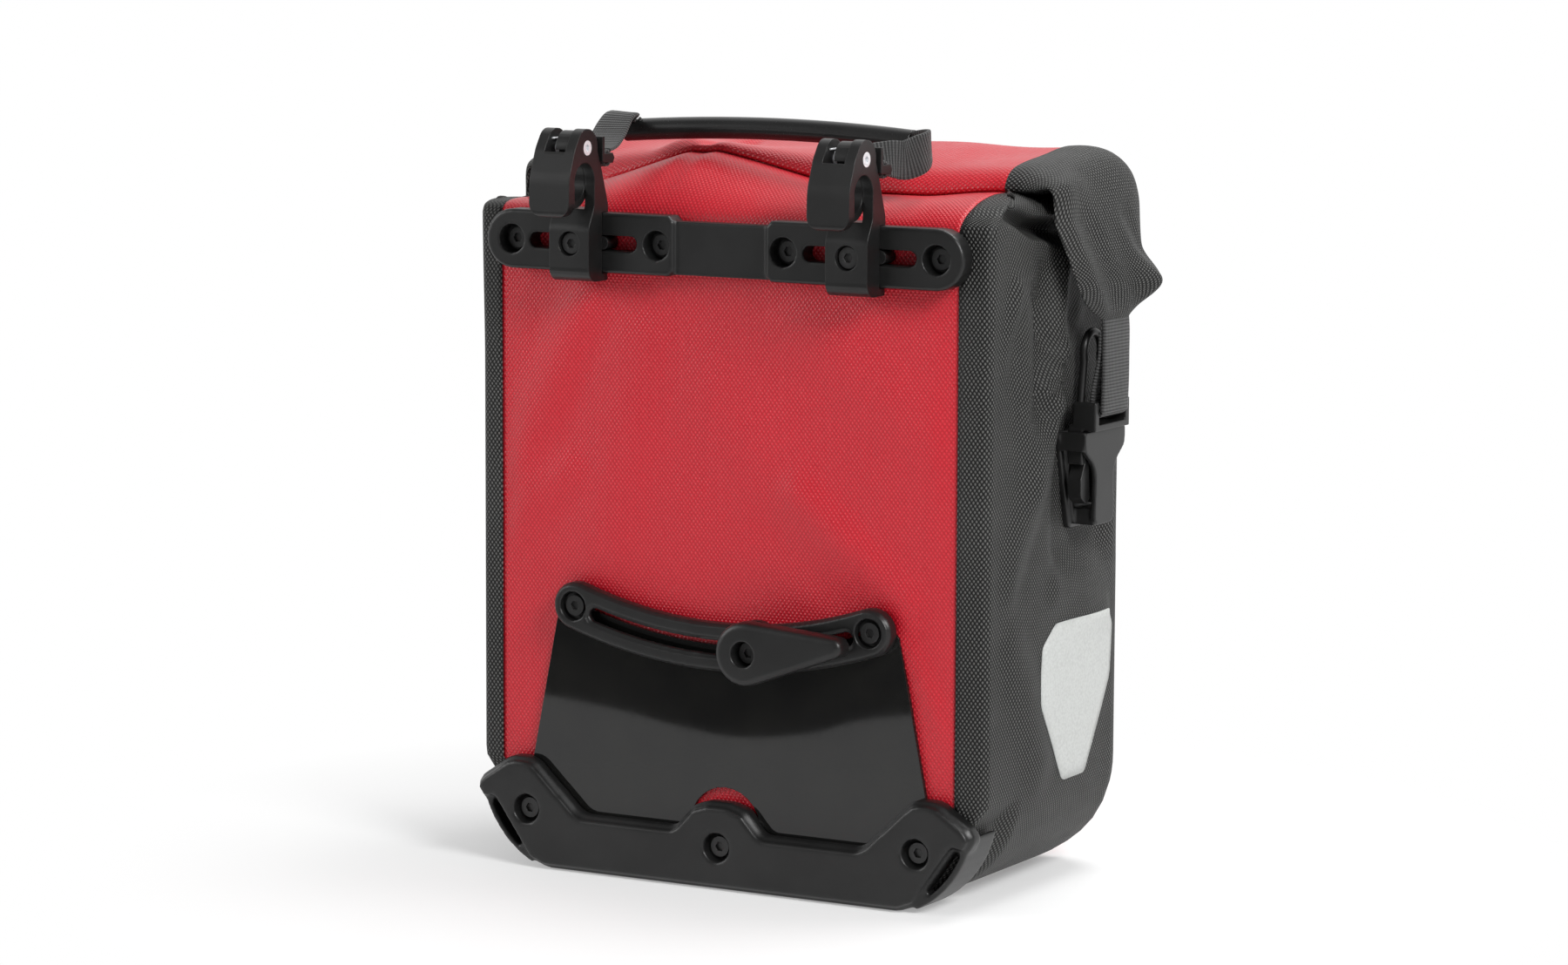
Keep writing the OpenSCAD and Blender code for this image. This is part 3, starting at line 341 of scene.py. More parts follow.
def fabric_material(name, low, high, pitch, depth, rough, gloss):
    """Woven cloth: yarn crossings raise the surface and are painted lighter, a painted highlight on the
    raised yarn.
    """
    mat = bpy.data.materials.new(name)
    nodes, net, shader = links(mat)
    coord = nodes.new("ShaderNodeTexCoord").outputs["UV"]
    yarn = weave(nodes, net, coord, pitch, pitch * 1.25)
    cloud = noise(nodes, net, coord, 14.0)
    # Colour: painted highlight on the yarn crossings, plus the cloth's own uneven tone from the cloud
    shade = maths(nodes, net, "ADD", maths(nodes, net, "MULTIPLY", yarn, 0.8),
                  maths(nodes, net, "MULTIPLY", cloud, 0.2))
    net.new(ramp(nodes, net, shade, ((0.12, low), (0.8, high))), shader.inputs["Base Color"])
    wear = noise(nodes, net, coord, 60.0)
    rough_out = maths(nodes, net, "ADD", maths(nodes, net, "MULTIPLY", wear, 0.16), rough - 0.08)
    net.new(rough_out, shader.inputs["Roughness"])
    shader.inputs["Specular IOR Level"].default_value = gloss
    net.new(bumped(nodes, net, yarn, depth), shader.inputs["Normal"])
    mat.diffuse_color = (*high, 1.0)
    return mat


def webbing_material(name, low, high, pitch, depth):
    """Ribbed webbing: ribs across its length and a finer lengthwise yarn."""
    mat = bpy.data.materials.new(name)
    nodes, net, shader = links(mat)
    coord = nodes.new("ShaderNodeTexCoord").outputs["UV"]
    ribs = wave(nodes, net, coord, "Y", pitch)
    yarn = wave(nodes, net, coord, "X", pitch * 0.8)
    height = maths(nodes, net, "ADD", maths(nodes, net, "MULTIPLY", ribs, 0.82),
                   maths(nodes, net, "MULTIPLY", yarn, 0.18))
    net.new(ramp(nodes, net, height, ((0.15, low), (0.9, high))), shader.inputs["Base Color"])
    shader.inputs["Roughness"].default_value = 0.72
    shader.inputs["Sheen Weight"].default_value = 0.15
    net.new(bumped(nodes, net, height, depth), shader.inputs["Normal"])
    mat.diffuse_color = (*high, 1.0)
    return mat


def moulded_material(name, low, high, rough, grain, edge, metal=0.0, streak=0.0, gloss=0.5):
    """Moulded or metal finish: fine grain, soft edges, uneven gloss. streak draws it out into scratches."""
    mat = bpy.data.materials.new(name)
    nodes, net, shader = links(mat)
    coord = nodes.new("ShaderNodeTexCoord").outputs["Object"]
    cloud = noise(nodes, net, coord, 45.0)
    net.new(ramp(nodes, net, cloud, ((0.3, low), (0.75, high))), shader.inputs["Base Color"])
    long = coord
    if streak:
        mapping = nodes.new("ShaderNodeMapping")
        mapping.inputs["Scale"].default_value = (1.0, 1.0, 1.0 / streak)
        net.new(coord, mapping.inputs["Vector"])
        long = mapping.outputs["Vector"]
    grains = noise(nodes, net, long, 1500.0 if not streak else 700.0, 2.0)
    spread = 0.12 if not streak else 0.05
    rough_out = maths(nodes, net, "ADD", maths(nodes, net, "MULTIPLY", grains, spread), rough - spread / 2)
    net.new(rough_out, shader.inputs["Roughness"])
    shader.inputs["Metallic"].default_value = metal
    shader.inputs["Specular IOR Level"].default_value = gloss
    round_edge = nodes.new("ShaderNodeBevel")
    round_edge.samples = 4
    round_edge.inputs["Radius"].default_value = edge
    net.new(bumped(nodes, net, grains, grain, round_edge.outputs["Normal"]), shader.inputs["Normal"])
    mat.diffuse_color = (*high, 1.0)
    return mat


def film_material(name, low, high):
    """Reflective film: fine cells under a clear face."""
    mat = bpy.data.materials.new(name)
    nodes, net, shader = links(mat)
    coord = nodes.new("ShaderNodeTexCoord").outputs["UV"]
    cells = nodes.new("ShaderNodeTexVoronoi")
    cells.inputs["Scale"].default_value = 900.0
    net.new(coord, cells.inputs["Vector"])
    shade = ramp(nodes, net, cells.outputs["Distance"], ((0.0, high), (0.9, low)))
    net.new(shade, shader.inputs["Base Color"])
    shader.inputs["Roughness"].default_value = 0.5
    net.new(bumped(nodes, net, cells.outputs["Distance"], 0.00004), shader.inputs["Normal"])
    mat.diffuse_color = (*high, 1.0)
    return mat


def finish_of(slot):
    """The material of a record slot, made once."""
    name = "finish_" + slot
    mat = bpy.data.materials.get(name)
    if mat:
        return mat
    fabric = bpy.context.scene.pannier_fabric
    hard = bpy.context.scene.pannier_hardware
    edge = hard.edge_radius
    if slot == "red_fabric":
        return fabric_material(name, (0.45, 0.005, 0.015), (0.64, 0.018, 0.034), fabric.weave_pitch,
                               fabric.weave_depth * 0.9, 0.36, 0.5)
    if slot == "black_fabric":
        return fabric_material(name, (0.001, 0.001, 0.001), (0.125, 0.125, 0.12), fabric.weave_pitch,
                               fabric.weave_depth * 1.5, 0.55, 0.3)
    if slot == "webbing":
        return webbing_material(name, (0.004, 0.004, 0.004), (0.05, 0.05, 0.05), 0.0014, 0.0004)
    if slot == "gloss_plate":
        return moulded_material(name, (0.006, 0.006, 0.006), (0.010, 0.010, 0.009), 0.05, 0.000001,
                                edge * 0.5,
                                streak=30.0)
    if slot == "grip":
        return moulded_material(name, (0.008, 0.008, 0.008), (0.014, 0.014, 0.014), 0.25, 0.000004, edge)
    if slot == "board":
        return moulded_material(name, (0.05, 0.05, 0.05), (0.07, 0.07, 0.07), 0.7, 0.00002, edge)
    if slot == "steel":
        return moulded_material(name, (0.72, 0.73, 0.75), (0.84, 0.85, 0.87), 0.36, 0.000004, edge * 0.3,
                                metal=0.4)
    if slot == "dark_screw":
        return moulded_material(name, (0.008, 0.008, 0.008), (0.02, 0.02, 0.02), 0.36, 0.000006, edge * 0.5)
    if slot == "reflector":
        return film_material(name, (0.44, 0.45, 0.44), (0.54, 0.555, 0.54))
    return moulded_material(name, (0.006, 0.006, 0.006), (0.012, 0.012, 0.012), 0.38, hard.grain, edge,
                            gloss=0.42)


def finish(obj, slot):
    obj.data.materials.clear()
    obj.data.materials.append(finish_of(slot))


def place(obj, slot, body, *nodes):
    """Gives a new piece its finish and its body, and hides the CAD nodes that it stands for."""
    finish(obj, slot)
    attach(obj, body)
    if nodes:
        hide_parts(*nodes)


# Form of the bag body

def lean(z):
    """Half the width of the CAD body at a height."""
    return mix(HALF_BASE, HALF_TOP, z / BODY_H)


def rounded_in(z, r):
    """How far a round base corner of radius r draws the side in at a height."""
    drop = max(0.0, r - z)
    return r - math.sqrt(r * r - drop * drop)


def held(y, z):
    """1 where the bottom guard or the buckle socket keeps the side in shape, 0 away from them."""
    guard = smooth((-34 - y) / 12) * smooth((48 - z) / 12)
    socket = window(y, BUCKLE_Y - 36, BUCKLE_Y + 36, 16) * window(z, 134, 220, 18)
    return max(guard, socket)


def half_width(z, y):
    """Half the width across the side panels, round at the base corners and nearly upright above them."""
    loose = mix(HALF_FULL, HALF_TOP, smooth((z - 220) / 70)) - rounded_in(z, SOFT_R)
    tight = lean(z) - 0.8 * smooth((70 - z) / 20) - rounded_in(z, BASE_R)
    return mix(loose, tight, held(y, z))


def seam_x(z, sign):
    """Where the red panel ends on the right or the left. The left seam is sewn nearer to the edge."""
    return min(SEAM_X if sign > 0 else SEAM_LEFT, half_width(z, BACK_Y) - 9.0)


def back_line(z):
    r = 7.0
    drop = max(0.0, BASE_LOW + r - z)
    return BACK_Y + r - math.sqrt(r * r - drop * drop)


def front_line(z):
    r = 25.0
    drop = max(0.0, r - z)
    return FRONT_Y - r + math.sqrt(r * r - drop * drop)


TOP_LINE = ((-67, 288), (-54, 290), (-26, 281), (0, 276), (18, 270), (44, 276), (67, 289))

# Creases as two ends, half a width and a height
BACK_CREASES = (
    ((-112, 150), (-82, 176), 15, 1.5), ((-108, 176), (-72, 252), 18, 1.6),
    ((-64, 150), (-46, 235), 26, 1.2), ((34, 174), (86, 132), 13, 1.7),
    ((20, 158), (70, 118), 12, -0.8), ((84, 118), (108, 74), 9, 1.1), ((40, 246), (96, 200), 24, 1.1),
    ((-10, 215), (50, 150), 30, 0.9),
)
SIDE_CREASES = (
    ((-2, 272), (-12, 205), 10, 1.5), ((-18, 268), (-28, 210), 11, -1.3),
    ((-40, 262), (-30, 180), 14, 1.0), ((-18, 196), (-52, 140), 15, 1.2),
    ((-8, 132), (40, 118), 12, 0.9), ((-46, 110), (-20, 60), 18, 0.9), ((44, 240), (50, 180), 10, 1.0),
    ((14, 250), (-22, 221), 7, 1.3), ((-22, 221), (2, 201), 7, 1.1), ((-46, 265), (-57, 233), 7, 0.9),
    ((-30, 262), (-6, 226), 6, -1.0),
)


def top_line(y):
    """Height of the body's upper edge: high at the back and front, pulled down under the roll ends."""
    return level(TOP_LINE, y)


def back_relief(x, z):
    """How far the back panel stands off the board, between the rail and the arched rail."""
    calm = window(z, 118, 268, 26) * window(x, -SEAM_LEFT, SEAM_X, 14)
    edges = window(z, 60, 268, 20) * window(x, -SEAM_LEFT, SEAM_X, 10)
    wave_form = 0.5 + 0.5 * math.sin(x / 31.0 + z / 47.0)
    return calm * 0.7 * wave_form + edges * max(-0.6, creased(x, z, BACK_CREASES))


def side_relief(y, z):
    """How far a side panel bulges out, flat round the buckle socket."""
    fabric = bpy.context.scene.pannier_fabric
    full = fabric.side_bulge / MM * window(y, -60, 58, 40) * window(z, 14, 268, 90)
    flat = 1.0 - window(y, BUCKLE_Y - 34, BUCKLE_Y + 34, 14) * window(z, 138, 214, 14)
    ripple = 0.3 * math.sin(y / 17.0 + z / 23.0) * window(y, -60, 58, 30) * window(z, 20, 262, 40)
    # The folds lie flatter where the buckle plug travels
    travel = window(y, BUCKLE_Y - 21, BUCKLE_Y + 21, 8) * window(z, 176, 268, 10)
    folds = creased(y, z, SIDE_CREASES) * window(y, -62, 58, 16)
    return flat * (full + ripple + (2.3 - 1.5 * travel) * folds)


def front_relief(x, z):
    fabric = bpy.context.scene.pannier_fabric
    full = fabric.front_bulge / MM * window(x, -111, 111, 90) * window(z, 10, 288, 120)
    ripple = 0.8 * math.sin(x / 37.0 - z / 43.0) * window(x, -111, 111, 50) * window(z, 30, 285, 60)
    return full + ripple


def side_section(z, sign):
    """Points of a side at a height, from the back seam to the front seam, each with its outward direction."""
    x = half_width(z, BACK_Y)
    back = back_line(z)
    front = front_line(z)
    seam = seam_x(z, sign)
    out = []
    for k in range(3):
        out.append((mix(seam, x - BACK_R, k / 3), back, (0.0, -1.0)))
    for k in range(6):
        a = math.radians(-90 + 15 * k)
        out.append((x - BACK_R + BACK_R * math.cos(a), back + BACK_R + BACK_R * math.sin(a),
                    (math.cos(a), math.sin(a))))
    for k in range(57):
        y = mix(back + BACK_R, front - FRONT_R, k / 56)
        x = half_width(z, y)
        out.append((x, y, (1.0, 0.0)))
    for k in range(1, 7):
        a = math.radians(15 * k)
        out.append((x - FRONT_R + FRONT_R * math.cos(a), front - FRONT_R + FRONT_R * math.sin(a),
                    (math.cos(a), math.sin(a))))
    for k in range(1, 4):
        out.append((mix(x - FRONT_R, seam, k / 3), front, (0.0, 1.0)))
    return out


def side_point(y, z, lift=0.0):
    """Point on the right side panel at y and a height, lift off its face."""
    return (half_width(z, y) + side_relief(y, z) + lift, y, z)


LOW_ROWS = (BASE_LOW, 3.5, 4.8, 7.0, 10.5, 15.0, 21.0, 29.0, 38.0)
UPPER_ROWS = 60
SHOULDER_ROWS = 12


def row_heights(top):
    upper = [mix(LOW_ROWS[-1], top, k / UPPER_ROWS) for k in range(1, UPPER_ROWS + 1)]
    return list(LOW_ROWS) + upper


def crease_z(x):
    """Height of the crease between the back shoulder and the roll: a tent left of the middle."""
    tent = bpy.context.scene.pannier_roll.tent_height / MM
    left = min(1.0, max(0.0, (x + 88) / 52))
    right = min(1.0, max(0.0, (46 - x) / 82))
    peak = min(left, right)
    soft = 0.75 * peak + 0.25 * smooth(peak)
    tilt = 3.0 * smooth((x - 70) / 40) - 8.0 * smooth((-82 - x) / 26)
    return RING_Z + tent * soft * (1.0 - 0.12 * bump(x, -36, 8)) + tilt


def back_rows():
    columns = 90
    rows = []
    for z in row_heights(top_line(BACK_Y)):
        row = []
        for i in range(columns + 1):
            x = mix(-seam_x(z, -1), seam_x(z, 1), i / columns)
            row.append((x, back_line(z) - back_relief(x, z), z))
        rows.append(row)
    top = rows[-1]
    for k in range(1, SHOULDER_ROWS + 1):
        t = k / SHOULDER_ROWS
        row = []
        for x, y, z in top:
            end = crease_z(x)
            row.append(bezier(((x, y, z), (x, y - 0.6, z + 8.5), (x, -46, end + 1.5),
                               (x, RING_BACK_Y, end)), t))
        rows.append(row)
    for k in (1, 2):
        rows.append([(x, RING_BACK_Y + 2.5 * k, crease_z(x) - 1.5 * k) for x, y, z in top])
    return rows


def front_rows():
    columns = 44
    rows = []
    for z in row_heights(top_line(FRONT_Y)):
        row = []
        for i in range(columns + 1):
            x = mix(seam_x(z, 1), -seam_x(z, -1), i / columns)
            row.append((x, front_line(z) + front_relief(x, z), z))
        rows.append(row)
    top = rows[-1]
    for k in range(1, SHOULDER_ROWS + 1):
        t = k / SHOULDER_ROWS
        rows.append([bezier(((x, y, z), (x, y + 0.6, z + 7.5), (x, 61, RING_Z + 2),
                             (x, RING_FRONT_Y, RING_Z)), t) for x, y, z in top])
    return rows


def side_rows(sign):
    """Side panel as on the right: the wall, a rim, and a fold that runs in under the roll."""
    places = [p[1] for p in side_section(280.0, sign)]
    heights = [row_heights(top_line(y)) for y in places]
    rows = []
    for j in range(len(heights[0])):
        row = []
        for i in range(len(places)):
            z = heights[i][j]
            x, y, (nx, ny) = side_section(z, sign)[i]
            rise = side_relief(y, z) * max(0.0, nx) ** 2
            # The welded edges lie on top of the middle panel
            proud = 0.7
            row.append((x + nx * (rise + proud), y + ny * (rise * abs(ny) + proud), z))
        rows.append(row)
    folds = [side_fold(p, sign) for p in rows[-1]]
    for k in range(1, len(folds[0])):
        rows.append([fold[k] for fold in folds])
    return rows


def side_fold(rim, sign):
    """Line from a point of the side's rim to the roll: a lower lip, a hollow, an upper lip and the way in."""
    x, y, z = rim
    ring_y = mix(RING_BACK_Y, RING_FRONT_Y, smooth((y + 62) / 118))
    ring_z = mix(crease_z(sign * SEAM_X), RING_Z, smooth((y + 45) / 30))
    end = (mix(SEAM_X, RING_X, (x - SEAM_X) / 15), ring_y, ring_z)
    middle = window(y, -66, 67, 18)
    curve = ((x, y, z), (x, y, z + 8), (x, mix(y, ring_y, 0.5), ring_z + 1), end)
    plain = [bezier(curve, k / 6) for k in range(7)]
    deep = 4.0 + 6.5 * bump(y, -14, 52)
    room = ring_z - z
    # Each step as its way in, its share of the way to the roll and its share of the height
    steps = ((0.0, 0.0, 0.0), (1.0, 0.0, 0.14), (deep, 0.02, 0.34), (deep - 1.0, 0.06, 0.5),
             (0.6, 0.08, 0.68),
             (4.0, 0.3, 0.9))
    folded = [(x - way, mix(y, ring_y, share), z + up * room) for way, share, up in steps] + [end]
    line = [tuple(mix(a, b, middle) for a, b in zip(p, q)) for p, q in zip(plain, folded)]
    return through(line, 5)


def base_rows(back, front):
    """Base between the lowest rows of the back and the front, a little hollow."""
    rows = []
    low_back = back[0]
    low_front = front[0]
    columns = len(low_back)
    steps = 20
    for j in range(steps + 1):
        t = j / steps
        row = []
        for i in range(columns):
            bx, by, bz = low_back[i]
            k = (columns - 1 - i) / (columns - 1) * (len(low_front) - 1)
            a = int(min(k, len(low_front) - 2))
            fx, fy, fz = (mix(p, q, k - a) for p, q in zip(low_front[a], low_front[a + 1]))
            lift = 1.2 * window(t, 0, 1, 0.3) * window(i / (columns - 1), 0, 1, 0.3)
            row.append((mix(bx, fx, t), mix(by, fy, t), mix(bz, fz, t) + lift))
        rows.append(row)
    return rows


# Form of the roll

def roll_outline(x):
    """Outline of the roll in y and z at x."""
    props = bpy.context.scene.pannier_roll
    lift = crease_z(x) - RING_Z
    pinch = props.pinch_depth / MM * (bump(x, -37, 7) - 0.5 * bump(x, -52, 16))
    wave_form = 0.5 * math.sin(x / 21.0) + 0.4 * math.sin(x / 9.0 + 1.0)
    points = ((-25.5, 300.8 + lift), (-25.2, 305 + 0.92 * lift), (-19.5, 310.6 + 0.6 * lift - pinch),
              (-8, 314 + 0.3 * lift - pinch + 0.4 * wave_form), (10, 317 - 0.6 * pinch + wave_form),
              (30, 319.4 + wave_form), (42, 318 + 0.5 * wave_form), (50, 312.5), (52, 305.5), (48.5, 300.9),
              (20, 300.2), (-5, 300.2 + 0.3 * lift), (-18, 300.4 + 0.75 * lift))
    return through(points, 3, closed=True)


def roll_rows():
    rows = []
    steps = 74
    for k in range(steps + 1):
        x = mix(-SEAM_X - 1.5, SEAM_X + 1.5, k / steps)
        rows.append([(x, y, z) for y, z in roll_outline(x)])
    return rows


# Stations of a roll end: x, z, turn in degrees, middle y, share of the depth, share of the thickness
EAR = (
    (110.0, 309.2, 0, 13.2, 1.015, 1.07), (118, 309.8, 0, 13.4, 1.01, 1.05),
    (123.4, 309, 18, 15, 1.01, 0.96), (127.6, 305.4, 48, 17, 1.01, 0.76),
    (131.4, 298.2, 74, 17.4, 0.98, 0.54), (134.2, 288.4, 82, 17.2, 0.95, 0.43),
    (137.2, 277, 80, 18.4, 0.88, 0.37), (139.8, 266, 80, 19.6, 0.83, 0.34),
    (141.2, 257.5, 86, 18, 0.68, 0.3), (142, 252, 92, 17.6, 0.5, 0.22),
    (142.3, 249, 96, 18, 0.36, 0.12), (142.3, 247.6, 98, 18, 0.32, 0.05),
)
EAR_CREASES = (
    ((-14, 288), (4, 250), 8, 2.0), ((-4, 300), (14, 258), 8, -1.8), ((24, 292), (44, 262), 8, 1.2),
    ((36, 290), (50, 268), 6, -1.4), ((12, 290), (26, 258), 7, 0.9),
)


def ear_rows(sign):
    """Roll end, drawn on the right: runs out level, bends down over the side and narrows to the strap."""
    outline = roll_outline(SEAM_X)
    mid_y, mid_z = 13.2, 309.2
    rows = []
    for x, z, turn, y0, deep, thick in through(EAR, 5):
        a = math.radians(turn)
        hang = smooth((turn - 30) / 50)
        row = []
        for y, h in outline:
            across = (y - mid_y) * deep
            rise = (h - mid_z) * thick
            outer = smooth(rise / 2.0)
            rise += outer * hang * creased(y0 + across, z, EAR_CREASES)
            # The back corner stays level longer, and the front corner spreads
            stay = bump(z, 300, 10) * smooth((10 - y0 - across) / 18)
            spread = 4.5 * bump(z, 300, 26) * smooth((across - 16) / 20)
            # The right end flares at its front corner and the left one at its back corner
            if sign > 0:
                flare = 8.5 * hang * bump(z, 261, 17) * smooth((y0 + across - 30) / 18)
            else:
                flare = 14.0 * hang * bump(z, 263, 15) * smooth((2 - y0 - across) / 15)
                spread -= 5.0 * bump(z, 263, 18) * smooth((2 - y0 - across) / 12)
            row.append((x + 2.0 * stay + (rise + flare) * math.sin(a), y0 + across + spread,
                        z + 5.0 * stay + rise * math.cos(a)))
        rows.append(row)
    return rows


def neck_rows():
    """Fabric neck inside the mouth, hidden in the roll until the closure is lifted."""
    half_x, back, front, r = 104.0, -22.0, 46.0, 12.0
    corners = ((-half_x + r, back + r, 180), (half_x - r, back + r, 270), (half_x - r, front - r, 0),
               (-half_x + r, front - r, 90))
    ring = []
    for cx, cy, start in corners:
        for k in range(7):
            a = math.radians(start + 15 * k)
            ring.append((cx + r * math.cos(a), cy + r * math.sin(a)))
    loop = []
    for (x0, y0), (x1, y1) in zip(ring, ring[1:] + ring[:1]):
        cuts = max(1, int(math.dist((x0, y0), (x1, y1)) / 8.0))
        loop.extend((mix(x0, x1, k / cuts), mix(y0, y1, k / cuts)) for k in range(cuts))
    rows = []
    steps = 16
    for j in range(steps + 1):
        t = j / steps
        slack = 1.0 + 0.006 * math.sin(math.pi * t)
        rows.append([(x * slack, y * slack, mix(294.0, 304.0, t)) for x, y in loop])
    return rows


# Mirroring

def mirrored(data):
    verts, faces, uvs = data
    return [(-x, y, z) for x, y, z in verts], [face[::-1] for face in faces], uvs


def sided(data, sign):
    return data if sign > 0 else mirrored(data)


# Settings

class PannierFabric(bpy.types.PropertyGroup):
    """Settings of the fabric."""
    weave_pitch: bpy.props.FloatProperty(name="Weave pitch", description="Distance between yarns",
                                         default=0.002,
                                         min=0.001, max=0.006, unit="LENGTH")
    weave_depth: bpy.props.FloatProperty(name="Weave depth", description="Height of the yarns",
                                         default=0.00022,
                                         min=0.0, max=0.001, unit="LENGTH")
    thickness: bpy.props.FloatProperty(name="Fabric thickness", description="Thickness of the coated fabric",
                                       default=0.0016, min=0.0008, max=0.003, unit="LENGTH")
    side_bulge: bpy.props.FloatProperty(name="Side bulge", description="How far a side panel bulges out",
                                        default=0.0026, min=0.0, max=0.008, unit="LENGTH")
    front_bulge: bpy.props.FloatProperty(name="Front bulge", description="How far the front panel bulges out",
                                         default=0.005, min=0.0, max=0.01, unit="LENGTH")


class PannierRoll(bpy.types.PropertyGroup):
    """Settings of the roll-top."""
    tent_height: bpy.props.FloatProperty(name="Tent height", description="Rise of the crease behind the roll",
                                         default=0.0165, min=0.0, max=0.02, unit="LENGTH")
    pinch_depth: bpy.props.FloatProperty(name="Pinch depth", description="Depth of the pinch across the roll",
                                         default=0.0045, min=0.0, max=0.008, unit="LENGTH")


class PannierHardware(bpy.types.PropertyGroup):
    """Settings of the plastic and metal pieces."""
    edge_radius: bpy.props.FloatProperty(name="Edge radius", description="Radius of the moulded edges",
                                         default=0.0007, min=0.0, max=0.002, unit="LENGTH")
    grain: bpy.props.FloatProperty(name="Grain", description="Height of the moulded grain", default=0.000012,
                                   min=0.0, max=0.0001, precision=6, unit="LENGTH")


class PannierStage(bpy.types.PropertyGroup):
    """Settings of the camera and the light."""
    azimuth: bpy.props.FloatProperty(name="Azimuth", description="Camera's turn round the bag",
                                     default=math.radians(29.5), subtype="ANGLE")
    elevation: bpy.props.FloatProperty(name="Elevation", description="Camera's height above the horizon",
                                       default=math.radians(7.515), subtype="ANGLE")
    roll: bpy.props.FloatProperty(name="Roll", description="Camera's turn about its own line of sight",
                                  default=math.radians(0.251), subtype="ANGLE")
    distance: bpy.props.FloatProperty(name="Distance", description="Camera's distance from its target",
                                      default=2.196168, min=0.5, max=10.0, unit="LENGTH")
    target: bpy.props.FloatVectorProperty(name="Target", description="Point the camera looks at",
                                          default=(-0.010557, 0.0, 0.168558), size=3, subtype="TRANSLATION")
    lens: bpy.props.FloatProperty(name="Lens", description="Focal length for a 36 mm sensor", default=114.0,
                                  min=20.0, max=300.0)
    key: bpy.props.FloatProperty(name="Key light", description="Share of the light from the right",
                                 default=0.8,
                                 min=0.0, max=2.0)
    top: bpy.props.FloatProperty(name="Top light", description="Share of the light from above", default=0.58,
                                 min=0.0, max=2.0)
    fill: bpy.props.FloatProperty(name="Fill light", description="Share of the light from the left",
                                  default=0.3,
                                  min=0.0, max=2.0)
    ambient: bpy.props.FloatProperty(name="Ambient light", description="Share of the light from all round",
                                     default=0.27, min=0.0, max=2.0)


# Operators

